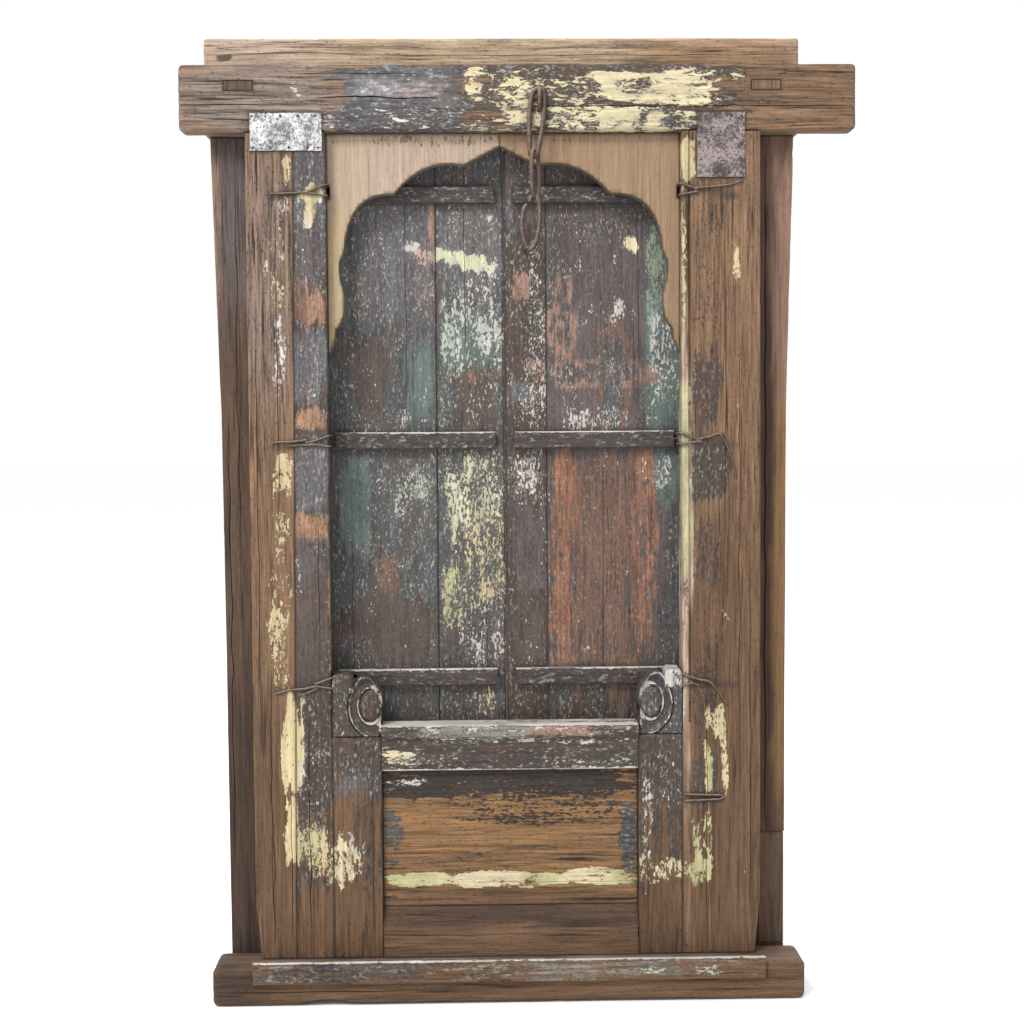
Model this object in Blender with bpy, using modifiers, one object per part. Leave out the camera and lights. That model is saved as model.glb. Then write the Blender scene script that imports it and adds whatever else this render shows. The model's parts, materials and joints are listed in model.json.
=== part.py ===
"""Old carved wooden window with a cusped arch, two plank shutters and a low framed panel.

Metres, +Z up, front towards -Y. The origin is on the ground under the middle of the sill,
in the plane of the front frame's face.
"""
import math

import bmesh
import bpy
from mathutils import Matrix, Vector

# Clearance between neighbours that touch
JOINT_GAP = 0.0003

# Points of an outline closer than this are one point
MERGE_DISTANCE = 0.00001

# Front frame
OPENING_WIDTH = 0.530
FRONT_DEPTH = 0.042
JAMB_HEIGHT = 1.244
JAMB_WIDTH = 0.119
JAMB_FOOT_WEAR = 0.009
JAMB_FOOT_WEAR_HEIGHT = 0.090
JAMB_SEAM_TOP = 0.047
JAMB_SEAM_FOOT = 0.057
JAMB_BEAD_WIDTH = 0.010
JAMB_BEAD_DEPTH = 0.003
LINTEL_LENGTH = 1.008
LINTEL_HEIGHT = 0.099
LINTEL_SHIFT = 0.023
LINTEL_WEAR = 0.007
KEY_WIDTH = 0.044
KEY_HEIGHT = 0.015
KEY_OFFSET = 0.008
KEY_DROP = 0.032

# Sill and its nailed strip
SILL_LENGTH = 0.890
SILL_HEIGHT = 0.059
SILL_NOSE = 0.040
SILL_WEAR = 0.009
SCOOP_PLACE = -0.272
SCOOP_LENGTH = 0.084
SCOOP_HEIGHT = 0.010
SCOOP_DEPTH = 0.030
HOLLOW_START = -0.240
HOLLOW_END = 0.300
HOLLOW_RISE = 0.0045
HOLLOW_DEPTH = 0.025
STRIP_HEIGHT = 0.034
STRIP_THICKNESS = 0.008
STRIP_RISE = 0.010

# Rear frame
REAR_DEPTH = 0.060
REAR_JAMB_WIDTH = 0.085
REAR_OPENING_HALF = 0.342
REAR_JAMB_FLARE = 0.015
HEADER_LENGTH = 0.898
HEADER_RISE = 0.047
REPAIR_WIDTH = 0.040
REPAIR_HEIGHT = 0.175
REPAIR_FOOT = 0.060

# Cusped arch
ARCH_THICKNESS = 0.022
ARCH_DROP = 0.327
ARCH_PEAK_SHIFT = -0.006

# Low framed panel
PANEL_HEIGHT = 0.356
STILE_DROP = 0.017
STILE_WIDTH_LEFT = 0.074
STILE_WIDTH_RIGHT = 0.067
STILE_BEAD_WIDTH = 0.014
TOP_RAIL_HEIGHT = 0.070
NOSING_HEIGHT = 0.023
NOSING_PROJECTION = 0.008
BOTTOM_RAIL_HEIGHT = 0.075
RAIL_BEVEL_HEIGHT = 0.031
PANEL_RECESS = 0.012
PANEL_THICKNESS = 0.018
RAIL_THICKNESS = 0.040

# Carved scrolls on the panel's stiles
SCROLL_HEIGHT = 0.1005
SCROLL_THICKNESS = 0.034
SCROLL_SETBACK = 0.005
SCROLL_RELIEF = 0.008

# Shutters
LEAF_PLANK_THICKNESS = 0.022
LEAF_SETBACK = 0.005
LEAF_LAP = 0.020
LEAF_HEAD_GAP = 0.012
MEETING_GAP = 0.0006
MEETING_CHAMFER = 0.003
LEAF_EDGE_LAP = 0.009
LEAF_SEAM_LEFT = 0.104
LEAF_SEAM_RIGHT = 0.064
BATTEN_HEIGHT = 0.026
BATTEN_THICKNESS = 0.013
BATTEN_MEETING_GAP = 0.013
BATTEN_HINGE_GAP = 0.012
BATTEN_TOP_DROP = 0.075
BATTEN_MIDDLE_DROP = 0.004
BATTEN_BOTTOM_RISE = 0.085

# Hinges: bent iron pins on the jambs, rings on the shutters
AXIS_SETBACK = 0.007
PIN_RADIUS = 0.002
PIN_SPREAD = 0.008
PIN_TAIL = 0.085
PIN_TAIL_SPREAD = 0.00225
PIN_TAIL_DROP = 0.010
RING_RADIUS = 0.0062
RING_WIRE = 0.0018
RING_CLEARANCE = 0.001
SHANK_RADIUS = 0.0014

# Chain
CHAIN_PLACE = 0.054
CHAIN_WIRE = 0.0025
LINK_WIDTH = 0.031
LINK_LENGTH = 0.106
LINK_TOP_DROP = 0.040
LOWER_LINK_WIDTH = 0.017
LOWER_LINK_LENGTH = 0.074
HOOK_EYE_RADIUS = 0.0066
HOOK_LENGTH = 0.048
STAPLE_WIRE = 0.002
STAPLE_HEIGHT = 0.030

# Spare staple at the lower right and small staple in the right shutter
CLENCH_DROP = 0.114
CLENCH_START = 0.003
CLENCH_REACH = 0.055
SHUTTER_STAPLE_DROP = 0.076
SHUTTER_STAPLE_HEIGHT = 0.016
SHUTTER_STAPLE_REACH = 0.010

# Tin plates
PLATE_THICKNESS = 0.001
PLATE_LEFT_WIDTH = 0.107
PLATE_LEFT_HEIGHT = 0.056
PLATE_RIGHT_WIDTH = 0.072
PLATE_RIGHT_HEIGHT = 0.097
PLATE_LAP = 0.027

# Arrises: width of the cut, and how sharp an edge has to be to get one, in degrees
ARRIS = 0.0015
ARRIS_ANGLE = 40

# Sizes that follow from the ones above
OPENING_HALF = OPENING_WIDTH / 2
FRONT_HALF = OPENING_HALF + JAMB_WIDTH
SILL_TOP = SILL_HEIGHT
JAMB_TOP = SILL_TOP + JAMB_HEIGHT
LINTEL_TOP = JAMB_TOP + LINTEL_HEIGHT
REAR_FRONT = FRONT_DEPTH + JOINT_GAP
REAR_BACK = REAR_FRONT + REAR_DEPTH
RAIL_TOP = SILL_TOP + PANEL_HEIGHT
STILE_TOP = RAIL_TOP - STILE_DROP
ARCH_FRONT = FRONT_DEPTH - ARCH_THICKNESS
BATTEN_FRONT = FRONT_DEPTH + LEAF_SETBACK
PLANK_FRONT = BATTEN_FRONT + BATTEN_THICKNESS + JOINT_GAP
PLANK_BACK = PLANK_FRONT + LEAF_PLANK_THICKNESS
LEAF_BOTTOM = RAIL_TOP - LEAF_LAP
LEAF_TOP = JAMB_TOP - LEAF_HEAD_GAP
PIN_X = OPENING_HALF - JOINT_GAP - PIN_RADIUS
AXIS_X = OPENING_HALF + AXIS_SETBACK
AXIS_Y = FRONT_DEPTH + RING_RADIUS + RING_WIRE + RING_CLEARANCE
BATTEN_TOP_LEVEL = LEAF_TOP - BATTEN_TOP_DROP
BATTEN_BOTTOM_LEVEL = LEAF_BOTTOM + BATTEN_BOTTOM_RISE
BATTEN_MIDDLE_LEVEL = (BATTEN_TOP_LEVEL + BATTEN_BOTTOM_LEVEL) / 2 - BATTEN_MIDDLE_DROP
BATTEN_LEVELS = {
    "top": BATTEN_TOP_LEVEL,
    "middle": BATTEN_MIDDLE_LEVEL,
    "bottom": BATTEN_BOTTOM_LEVEL,
}
SIDES = {"left": -1, "right": 1}
STILE_WIDTHS = {"left": STILE_WIDTH_LEFT, "right": STILE_WIDTH_RIGHT}

# Colour, roughness and metallic value of each kind of surface
FINISHES = {
    "aged_wood": ((0.21, 0.13, 0.08), 0.85, 0.0),
    "pale_wood": ((0.42, 0.30, 0.19), 0.85, 0.0),
    "dark_wood": ((0.12, 0.09, 0.07), 0.88, 0.0),
    "painted_wood": ((0.20, 0.19, 0.17), 0.80, 0.0),
    "old_iron": ((0.16, 0.11, 0.09), 0.70, 0.8),
    "zinc": ((0.50, 0.50, 0.47), 0.55, 0.8),
}


def new_collection(name, hidden=False):
    collection = bpy.data.collections.new(name)
    bpy.context.scene.collection.children.link(collection)
    collection.hide_render = hidden
    return collection


def finish(name, kind):
    """A material of the part's own, in one of the listed finishes."""
    colour, roughness, metallic = FINISHES[kind]
    material = bpy.data.materials.new(name + "_" + kind)
    material.use_nodes = True
    shader = material.node_tree.nodes["Principled BSDF"]
    shader.inputs["Base Color"].default_value = (*colour, 1.0)
    shader.inputs["Roughness"].default_value = roughness
    shader.inputs["Metallic"].default_value = metallic
    return material


def add_object(name, data, kind, parent=None):
    piece = bpy.data.objects.new(name, data)
    PARTS.objects.link(piece)
    data.materials.append(finish(name, kind))
    if parent is not None:
        piece.parent = parent
    return piece


def place(piece, location):
    """Puts a piece at a world position, whether or not it hangs under a joint's empty."""
    origin = piece.parent.location if piece.parent else Vector((0, 0, 0))
    piece.location = Vector(location) - origin


def bevelled(piece, width, segments=1):
    bevel = piece.modifiers.new("arris", "BEVEL")
    bevel.width = width
    bevel.segments = segments
    bevel.limit_method = "ANGLE"
    bevel.angle_limit = math.radians(ARRIS_ANGLE)


def box_mesh(name, size):
    mesh = bpy.data.meshes.new(name)
    form = bmesh.new()
    bmesh.ops.create_cube(form, size=1.0)
    bmesh.ops.scale(form, vec=size, verts=form.verts)
    form.to_mesh(mesh)
    form.free()
    return mesh


def box(name, low, high, kind, arris=ARRIS, segments=1, parent=None):
    """A squared piece between two opposite corners, with its arrises taken off."""
    low, high = Vector(low), Vector(high)
    piece = add_object(name, box_mesh(name, high - low), kind, parent)
    place(piece, (low + high) / 2)
    if arris:
        bevelled(piece, arris, segments)
    return piece


def closed_outline(name, points, thickness):
    """A flat outline filled on both sides, as curve data lying in its own XY plane."""
    curve = bpy.data.curves.new(name, "CURVE")
    curve.dimensions = "2D"
    curve.fill_mode = "BOTH"
    curve.extrude = thickness / 2
    spline = curve.splines.new("POLY")
    spline.points.add(len(points) - 1)
    for point, (across, up) in zip(spline.points, points):
        point.co = (across, up, 0, 1)
    spline.use_cyclic_u = True
    return curve


def mesh_from_curve(name, curve, turn):
    """Makes a curve into a welded mesh, turned the way the piece stands."""
    guide = bpy.data.objects.new(name + "_guide", curve)
    CUTTERS.objects.link(guide)
    bpy.context.view_layer.update()
    solid = guide.evaluated_get(bpy.context.evaluated_depsgraph_get())
    mesh = bpy.data.meshes.new_from_object(solid)
    bpy.data.objects.remove(guide)
    bpy.data.curves.remove(curve)
    form = bmesh.new()
    form.from_mesh(mesh)
    bmesh.ops.remove_doubles(form, verts=form.verts, dist=MERGE_DISTANCE)
    bmesh.ops.transform(form, matrix=turn, verts=form.verts)
    bmesh.ops.recalc_face_normals(form, faces=form.faces)
    form.to_mesh(mesh)
    form.free()
    mesh.name = name
    return mesh


UPRIGHT = Matrix.Rotation(math.radians(90), 4, "X")
ALONG_X = Matrix(((0, 0, 1, 0), (1, 0, 0, 0), (0, 1, 0, 0), (0, 0, 0, 1)))


def board(name, points, front, thickness, kind, parent=None, arris=0.0):
    """A board whose outline is drawn in X and Z, from its front face backwards."""
    mesh = mesh_from_curve(name, closed_outline(name, points, thickness), UPRIGHT)
    piece = add_object(name, mesh, kind, parent)
    place(piece, (0, front + thickness / 2, 0))
    if arris:
        bevelled(piece, arris)
    return piece


def moulding(name, profile, start, end, kind):
    """A rail whose profile is drawn in Y and Z and runs along X."""
    mesh = mesh_from_curve(name, closed_outline(name, profile, end - start), ALONG_X)
    piece = add_object(name, mesh, kind)
    place(piece, ((start + end) / 2, 0, 0))
    return piece


def wire_curve(name, points, radius, closed=False, resolution=2):
    curve = bpy.data.curves.new(name, "CURVE")
    curve.dimensions = "3D"
    curve.bevel_depth = radius
    curve.bevel_resolution = resolution
    curve.use_fill_caps = True
    spline = curve.splines.new("POLY")
    spline.points.add(len(points) - 1)
    for point, place_now in zip(spline.points, points):
        point.co = (*place_now, 1)
    spline.use_cyclic_u = closed
    return curve


def wire(name, points, radius, closed=False):
    return add_object(name, wire_curve(name, points, radius, closed), "old_iron")


def cutter(name, mesh, location):
    tool = bpy.data.objects.new(name, mesh)
    CUTTERS.objects.link(tool)
    tool.location = location
    tool.hide_render = True
    tool.display_type = "WIRE"
    return tool


def boolean(piece, tool, operation="DIFFERENCE"):
    step = piece.modifiers.new(tool.name, "BOOLEAN")
    step.operation = operation
    step.solver = "EXACT"
    step.object = tool


def box_cutter(name, low, high):
    low, high = Vector(low), Vector(high)
    return cutter(name, box_mesh(name, high - low), (low + high) / 2)


def ball_mesh(name, radii, segments=16, rings=10):
    mesh = bpy.data.meshes.new(name)
    form = bmesh.new()
    bmesh.ops.create_uvsphere(form, u_segments=segments, v_segments=rings, radius=1.0)
    bmesh.ops.scale(form, vec=radii, verts=form.verts)
    form.to_mesh(mesh)
    form.free()
    return mesh


def bent_line(start, control, end, steps):
    """Points of one bent stretch of an outline, without its start."""
    points = []
    for step in range(1, steps + 1):
        t = step / steps
        points.append(tuple(
            (1 - t) ** 2 * a + 2 * t * (1 - t) * b + t * t * c
            for a, b, c in zip(start, control, end)))
    return points


def round_line(centre, radii, start, end, steps):
    """Points on an ellipse from one angle to another, both in degrees."""
    points = []
    for step in range(steps + 1):
        angle = math.radians(start + (end - start) * step / steps)
        points.append((centre[0] + radii[0] * math.cos(angle),
                       centre[1] + radii[1] * math.sin(angle)))
    return points


# Sill, strip and lintel

def make_sill():
    """The sill, worn hollow under its nose, and the thin strip on its front."""
    sill = box("sill", (-SILL_LENGTH / 2, -SILL_NOSE, 0),
               (SILL_LENGTH / 2, FRONT_DEPTH, SILL_TOP), "aged_wood", SILL_WEAR, 3)
    scoop = cutter("sill_scoop", ball_mesh("sill_scoop", (SCOOP_LENGTH / 2, SCOOP_DEPTH,
                                                          SCOOP_HEIGHT)),
                   (SCOOP_PLACE, -SILL_NOSE, 0))
    boolean(sill, scoop)
    before = -SILL_NOSE - ARRIS
    hollow = mesh_from_curve("sill_hollow", closed_outline("sill_hollow", [
        (before, -ARRIS), (before, HOLLOW_RISE), (-SILL_NOSE, HOLLOW_RISE),
        (-SILL_NOSE + HOLLOW_DEPTH, -ARRIS)], HOLLOW_END - HOLLOW_START), ALONG_X)
    boolean(sill, cutter("sill_hollow", hollow, ((HOLLOW_START + HOLLOW_END) / 2, 0, 0)))
    top = SILL_TOP + STRIP_RISE
    box("threshold_strip", (-FRONT_HALF, -SILL_NOSE - JOINT_GAP - STRIP_THICKNESS,
                            top - STRIP_HEIGHT),
        (FRONT_HALF, -SILL_NOSE - JOINT_GAP, top), "painted_wood")


def make_lintel():
    start = LINTEL_SHIFT - LINTEL_LENGTH / 2
    end = LINTEL_SHIFT + LINTEL_LENGTH / 2
    lintel = box("lintel", (start, 0, JAMB_TOP), (end, FRONT_DEPTH, LINTEL_TOP),
                 "aged_wood", LINTEL_WEAR, 3)
    for side_name, side in SIDES.items():
        middle = side * (FRONT_HALF + KEY_OFFSET)
        level = LINTEL_TOP - KEY_DROP
        low = Vector((middle - KEY_WIDTH / 2, 0, level - KEY_HEIGHT / 2))
        high = Vector((middle + KEY_WIDTH / 2, FRONT_DEPTH, level + KEY_HEIGHT / 2))
        slack = Vector((JOINT_GAP, FRONT_DEPTH, JOINT_GAP))
        boolean(lintel, box_cutter("key_mortise_" + side_name, low - slack, high + slack))
        box("lintel_key_" + side_name, low, high, "dark_wood", ARRIS / 2)


# Front jambs

def jamb_seam(height, gap):
    """Distance of the left jamb's seam from the centreline, at a height."""
    share = (height - SILL_TOP) / JAMB_HEIGHT
    return OPENING_HALF + JAMB_SEAM_FOOT + (JAMB_SEAM_TOP - JAMB_SEAM_FOOT) * share + gap


def jamb_outer_side(side, inner_low, inner_high):
    """Outline of a jamb board that ends at the frame's outer side, worn at its foot."""
    foot = SILL_TOP + JOINT_GAP
    head = JAMB_TOP - JOINT_GAP
    return [(side * inner_low, foot), (side * (FRONT_HALF - JAMB_FOOT_WEAR), foot),
            (side * FRONT_HALF, foot + JAMB_FOOT_WEAR_HEIGHT), (side * FRONT_HALF, head),
            (side * inner_high, head)]


def make_front_jambs():
    foot = SILL_TOP + JOINT_GAP
    head = JAMB_TOP - JOINT_GAP
    outer = jamb_outer_side(-1, jamb_seam(foot, JOINT_GAP), jamb_seam(head, JOINT_GAP))
    board("front_jamb_left_outer", outer, 0, FRONT_DEPTH, "aged_wood", arris=ARRIS)
    inner = [(-OPENING_HALF, foot), (-OPENING_HALF, head),
             (-jamb_seam(head, 0), head), (-jamb_seam(foot, 0), foot)]
    board("front_jamb_left_inner", inner, 0, FRONT_DEPTH, "painted_wood", arris=ARRIS)
    right = board("front_jamb_right", jamb_outer_side(1, OPENING_HALF, OPENING_HALF),
                  0, FRONT_DEPTH, "painted_wood", arris=ARRIS)
    groove = OPENING_HALF + JAMB_BEAD_WIDTH
    boolean(right, box_cutter(
        "bead_groove", (groove, -JAMB_BEAD_DEPTH, RAIL_TOP),
        (groove + JAMB_BEAD_DEPTH, JAMB_BEAD_DEPTH, JAMB_TOP + JAMB_BEAD_DEPTH)))


# Rear frame

def rear_jamb_outline(side):
    """The outer edge leans out towards the head, in two slopes."""
    inner = REAR_OPENING_HALF
    outer = inner + REAR_JAMB_WIDTH
    head = JAMB_TOP - JOINT_GAP
    knee = SILL_TOP + JAMB_HEIGHT * 2 / 3
    return [(side * inner, 0), (side * outer, 0),
            (side * (outer + REAR_JAMB_FLARE / 4), knee),
            (side * (outer + REAR_JAMB_FLARE), head), (side * inner, head)]


def make_rear_frame():
    for side_name, side in SIDES.items():
        jamb = board("rear_jamb_" + side_name, rear_jamb_outline(side), REAR_FRONT,
                     REAR_DEPTH, "dark_wood", arris=ARRIS)
        if side_name == "right":
            outer = REAR_OPENING_HALF + REAR_JAMB_WIDTH
            low = Vector((outer - REPAIR_WIDTH, REAR_FRONT, REPAIR_FOOT))
            high = Vector((outer, REAR_BACK, REPAIR_FOOT + REPAIR_HEIGHT))
            spare = Vector((REPAIR_WIDTH, REAR_DEPTH, 0))
            inner_gap = Vector((JOINT_GAP, REAR_DEPTH, JOINT_GAP))
            upper_gap = Vector((0, 0, JOINT_GAP))
            boolean(jamb, box_cutter("repair_notch", low - inner_gap,
                                     high + spare + upper_gap))
            box("rear_jamb_repair", low, high, "dark_wood")
    box("rear_header", (-HEADER_LENGTH / 2, REAR_FRONT, JAMB_TOP),
        (HEADER_LENGTH / 2, REAR_BACK, LINTEL_TOP + HEADER_RISE), "pale_wood", ARRIS * 2)


# Cusped arch

# Outline from the peak to the foot of the arch: each entry ends a stretch, straight or
# bent towards a control point. The first number is the share of the way from the peak to
# the jamb, the second the share of the arch's drop.
ARCH_PEAK_SHARES = (0.0, 0.055)
ARCH_SHARES = [
    (None, (0.208, 0.141), 1),
    ((0.442, 0.102), (0.615, 0.272), 7),
    ((0.883, 0.257), (0.909, 0.535), 8),
    (None, (0.936, 0.584), 1),
    ((0.943, 0.642), (0.909, 0.728), 3),
    ((0.902, 0.820), (0.928, 0.853), 3),
    ((0.943, 0.881), (0.962, 0.890), 2),
    (None, (0.966, 0.939), 1),
    (None, (1.0, 1.0), 1),
]


def arch_outline(side):
    """Outline of one spandrel board, drawn from the peak down and back along the jamb."""
    middle = ARCH_PEAK_SHIFT + side * JOINT_GAP / 2
    reach = side * (OPENING_HALF - JOINT_GAP) - middle
    shares = [ARCH_PEAK_SHARES]
    for control, end, steps in ARCH_SHARES:
        start = shares[-1]
        if control is None:
            shares.append(end)
        else:
            shares.extend(bent_line(start, control, end, steps))
    shares += [(1.0, 0.0), (0.0, 0.0)]
    head = JAMB_TOP - JOINT_GAP
    return [(middle + reach * across, head - ARCH_DROP * down) for across, down in shares]


def pin_slot(name, side, level, inner):
    """Cutter for the slot that a hinge pin needs beside the jamb."""
    height = PIN_SPREAD + PIN_RADIUS + JOINT_GAP
    near, far = side * inner, side * (OPENING_HALF + PIN_RADIUS)
    return box_cutter(name, (min(near, far), -FRONT_DEPTH, level - height),
                      (max(near, far), FRONT_DEPTH * 2, level + height))


def make_arch():
    slot_edge = PIN_X - PIN_RADIUS - JOINT_GAP
    for side_name, side in SIDES.items():
        spandrel = board("arch_spandrel_" + side_name, arch_outline(side), ARCH_FRONT,
                         ARCH_THICKNESS, "pale_wood")
        boolean(spandrel, pin_slot("arch_slot_" + side_name, side,
                                   BATTEN_LEVELS["top"], slot_edge))


# Low framed panel

def make_panel():
    foot = SILL_TOP + JOINT_GAP
    left = -OPENING_HALF + STILE_WIDTH_LEFT
    right = OPENING_HALF - STILE_WIDTH_RIGHT
    for side_name, side in SIDES.items():
        outer = side * (OPENING_HALF - JOINT_GAP)
        inner = side * (OPENING_HALF - STILE_WIDTHS[side_name])
        stile = box("panel_stile_" + side_name, (min(outer, inner), 0, foot),
                    (max(outer, inner), RAIL_THICKNESS, STILE_TOP), "aged_wood")
        groove = inner + side * STILE_BEAD_WIDTH
        boolean(stile, box_cutter(
            "stile_groove_" + side_name,
            (groove - ARRIS / 2, -ARRIS, foot + BOTTOM_RAIL_HEIGHT - RAIL_BEVEL_HEIGHT),
            (groove + ARRIS / 2, ARRIS, RAIL_TOP - TOP_RAIL_HEIGHT)))
    start, end = left + JOINT_GAP, right - JOINT_GAP
    nosing_foot = RAIL_TOP - NOSING_HEIGHT
    rail_foot = RAIL_TOP - TOP_RAIL_HEIGHT
    nose = [(-reach * NOSING_PROJECTION, nosing_foot + up * NOSING_HEIGHT)
            for reach, up in ((0.25, 0.0), (0.4, 0.14), (0.85, 0.22), (1.0, 0.42),
                              (1.0, 0.72), (0.8, 0.93), (0.35, 1.0))]
    profile = [(RAIL_THICKNESS, rail_foot), (ARRIS, rail_foot), (0, rail_foot + ARRIS)]
    profile += [(0, nosing_foot)] + nose + [(RAIL_THICKNESS, RAIL_TOP)]
    moulding("panel_top_rail", profile, start, end, "painted_wood")
    bottom_top = foot + BOTTOM_RAIL_HEIGHT
    profile = [(RAIL_THICKNESS, foot), (0, foot), (0, bottom_top - RAIL_BEVEL_HEIGHT),
               (PANEL_RECESS, bottom_top), (RAIL_THICKNESS, bottom_top)]
    moulding("panel_bottom_rail", profile, start, end, "aged_wood")
    box("panel_board", (start, PANEL_RECESS, bottom_top + JOINT_GAP),
        (end, PANEL_RECESS + PANEL_THICKNESS, rail_foot - JOINT_GAP), "painted_wood")


# Carved scrolls. Places are shares of the scroll's width and height, from the lower
# corner beside the jamb.

SCROLL_BACK_SHARES = [(0.005, 0.0), (0.005, 0.94), (0.05, 1.0), (0.28, 1.0), (0.345, 0.90)]
SCROLL_CREST_SHARES = [((0.37, 0.85), (0.45, 0.95)), ((0.60, 1.03), (0.74, 0.83)),
                ((0.79, 0.78), (0.80, 0.72))]
SCROLL_BELLY_SHARES = [((0.935, 0.66), (0.935, 0.50)), ((0.935, 0.36), (0.88, 0.22))]
SCROLL_FOOT_SHARES = [(0.99, 0.21), (0.99, 0.0)]
EGG_CENTRE_SHARES = (0.69, 0.50)
EGG_RADII_SHARES = (0.17, 0.25)
KNOB_LOW_SHARES = (0.09, 0.62)
KNOB_HIGH_SHARES = (0.30, 0.97)

# Raised lines of the carving: centre, radii, first and last angle, steps, and radius as a
# share of the relief
SCROLL_LINE_SHARES = {
    "rim": ((0.69, 0.50), (0.24, 0.30), 112, 262, 10, 0.33),
    "sweep": ((0.95, 0.62), (0.70, 0.56), 168, 262, 9, 0.25),
    "crest": ((0.52, 0.62), (0.20, 0.27), 150, 22, 7, 0.50),
}


def scroll_outline():
    points = list(SCROLL_BACK_SHARES)
    for control, end in SCROLL_CREST_SHARES + SCROLL_BELLY_SHARES:
        points.extend(bent_line(points[-1], control, end, 4))
    return points + SCROLL_FOOT_SHARES


def scroll_place(side, width, share):
    across, up = share
    return (side * (OPENING_HALF - JOINT_GAP - across * width),
            STILE_TOP + JOINT_GAP + up * SCROLL_HEIGHT)


def scroll_tube(name, side, width, shares, front, radius):
    """A round ridge that follows part of the scroll."""
    points = []
    for share in shares:
        across, up = scroll_place(side, width, share)
        points.append((across, front, up))
    mesh = mesh_from_curve(name, wire_curve(name, points, radius, resolution=1),
                           Matrix.Identity(4))
    return cutter(name, mesh, (0, 0, 0))


def make_scrolls():
    """A scroll on each stile: a thick board with its knob, egg and raised lines."""
    low_level = BATTEN_LEVELS["bottom"]
    slot_edge = PIN_X - PIN_RADIUS - JOINT_GAP
    front = SCROLL_SETBACK
    for side_name, side in SIDES.items():
        name = "scroll_bracket_" + side_name
        width = STILE_WIDTHS[side_name] - JOINT_GAP
        outline = [scroll_place(side, width, share) for share in scroll_outline()]
        scroll = board(name, outline, front, SCROLL_THICKNESS, "dark_wood")
        boolean(scroll, pin_slot(name + "_slot", side, low_level, slot_edge))
        egg_place = scroll_place(side, width, EGG_CENTRE_SHARES)
        egg = cutter(name + "_egg", ball_mesh(
            name + "_egg", (EGG_RADII_SHARES[0] * width, SCROLL_RELIEF,
                            EGG_RADII_SHARES[1] * SCROLL_HEIGHT)),
            (egg_place[0], front, egg_place[1]))
        boolean(scroll, egg, "UNION")
        for line, (centre, radii, first, last, steps, share) in SCROLL_LINE_SHARES.items():
            path = round_line(centre, radii, first, last, steps)
            tube = scroll_tube(name + "_" + line, side, width, path, front,
                               SCROLL_RELIEF * share)
            boolean(scroll, tube, "UNION")
        knob_low = scroll_place(side, width, KNOB_LOW_SHARES)
        knob_high = scroll_place(side, width, KNOB_HIGH_SHARES)
        knob = box_cutter(name + "_knob",
                          (min(knob_low[0], knob_high[0]), front - SCROLL_RELIEF / 2,
                           knob_low[1]),
                          (max(knob_low[0], knob_high[0]), front + SCROLL_RELIEF,
                           knob_high[1]))
        boolean(scroll, knob, "UNION")


# Shutters

def leaf_hinge(side_name, side):
    """An empty on the vertical axis that a shutter turns about."""
    hinge = bpy.data.objects.new("leaf_" + side_name + "_axis", None)
    PARTS.objects.link(hinge)
    hinge.location = (side * AXIS_X, AXIS_Y, 0)
    return hinge


def leaf_plank(name, near, far, hinge):
    box(name, (min(near, far), PLANK_FRONT, LEAF_BOTTOM),
        (max(near, far), PLANK_BACK, LEAF_TOP), "painted_wood", ARRIS, parent=hinge)


def meeting_plank(name, side, seam, hinge):
    """The plank at a shutter's meeting edge, with its front arris cut back."""
    meeting = side * MEETING_GAP / 2
    cut = side * MEETING_CHAMFER
    far = side * (seam - JOINT_GAP)
    corners = [(meeting + cut, PLANK_FRONT), (meeting, PLANK_FRONT + MEETING_CHAMFER),
               (meeting, PLANK_BACK), (far, PLANK_BACK), (far, PLANK_FRONT)]
    middle = (meeting + far) / 2
    outline = [(x - middle, y - PLANK_FRONT) for x, y in corners]
    mesh = mesh_from_curve(name, closed_outline(name, outline, LEAF_TOP - LEAF_BOTTOM),
                           Matrix.Identity(4))
    plank = add_object(name, mesh, "painted_wood", hinge)
    place(plank, (middle, PLANK_FRONT, (LEAF_TOP + LEAF_BOTTOM) / 2))


def leaf_eye(name, side, level, batten_end, hinge):
    """A ring round the axis, with a short shank that meets the batten's end."""
    bpy.ops.mesh.primitive_torus_add(major_segments=16, minor_segments=8,
                                     major_radius=RING_RADIUS, minor_radius=RING_WIRE)
    spare = bpy.context.active_object
    mesh = spare.data
    bpy.data.objects.remove(spare)
    ring = add_object(name, mesh, "old_iron", hinge)
    place(ring, (side * AXIS_X, AXIS_Y, level))
    shank_start = side * (AXIS_X - RING_RADIUS)
    shank_end = batten_end + side * JOINT_GAP
    form = bmesh.new()
    bmesh.ops.create_cone(form, cap_ends=True, segments=7, radius1=SHANK_RADIUS,
                          radius2=SHANK_RADIUS, depth=abs(shank_end - shank_start))
    bmesh.ops.rotate(form, cent=(0, 0, 0), matrix=Matrix.Rotation(math.radians(90), 3, "Y"),
                     verts=form.verts)
    shank_mesh = bpy.data.meshes.new(name + "_shank")
    form.to_mesh(shank_mesh)
    form.free()
    boolean(ring, cutter(name + "_shank", shank_mesh,
                         ((shank_start + shank_end) / 2, AXIS_Y, level)), "UNION")


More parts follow.
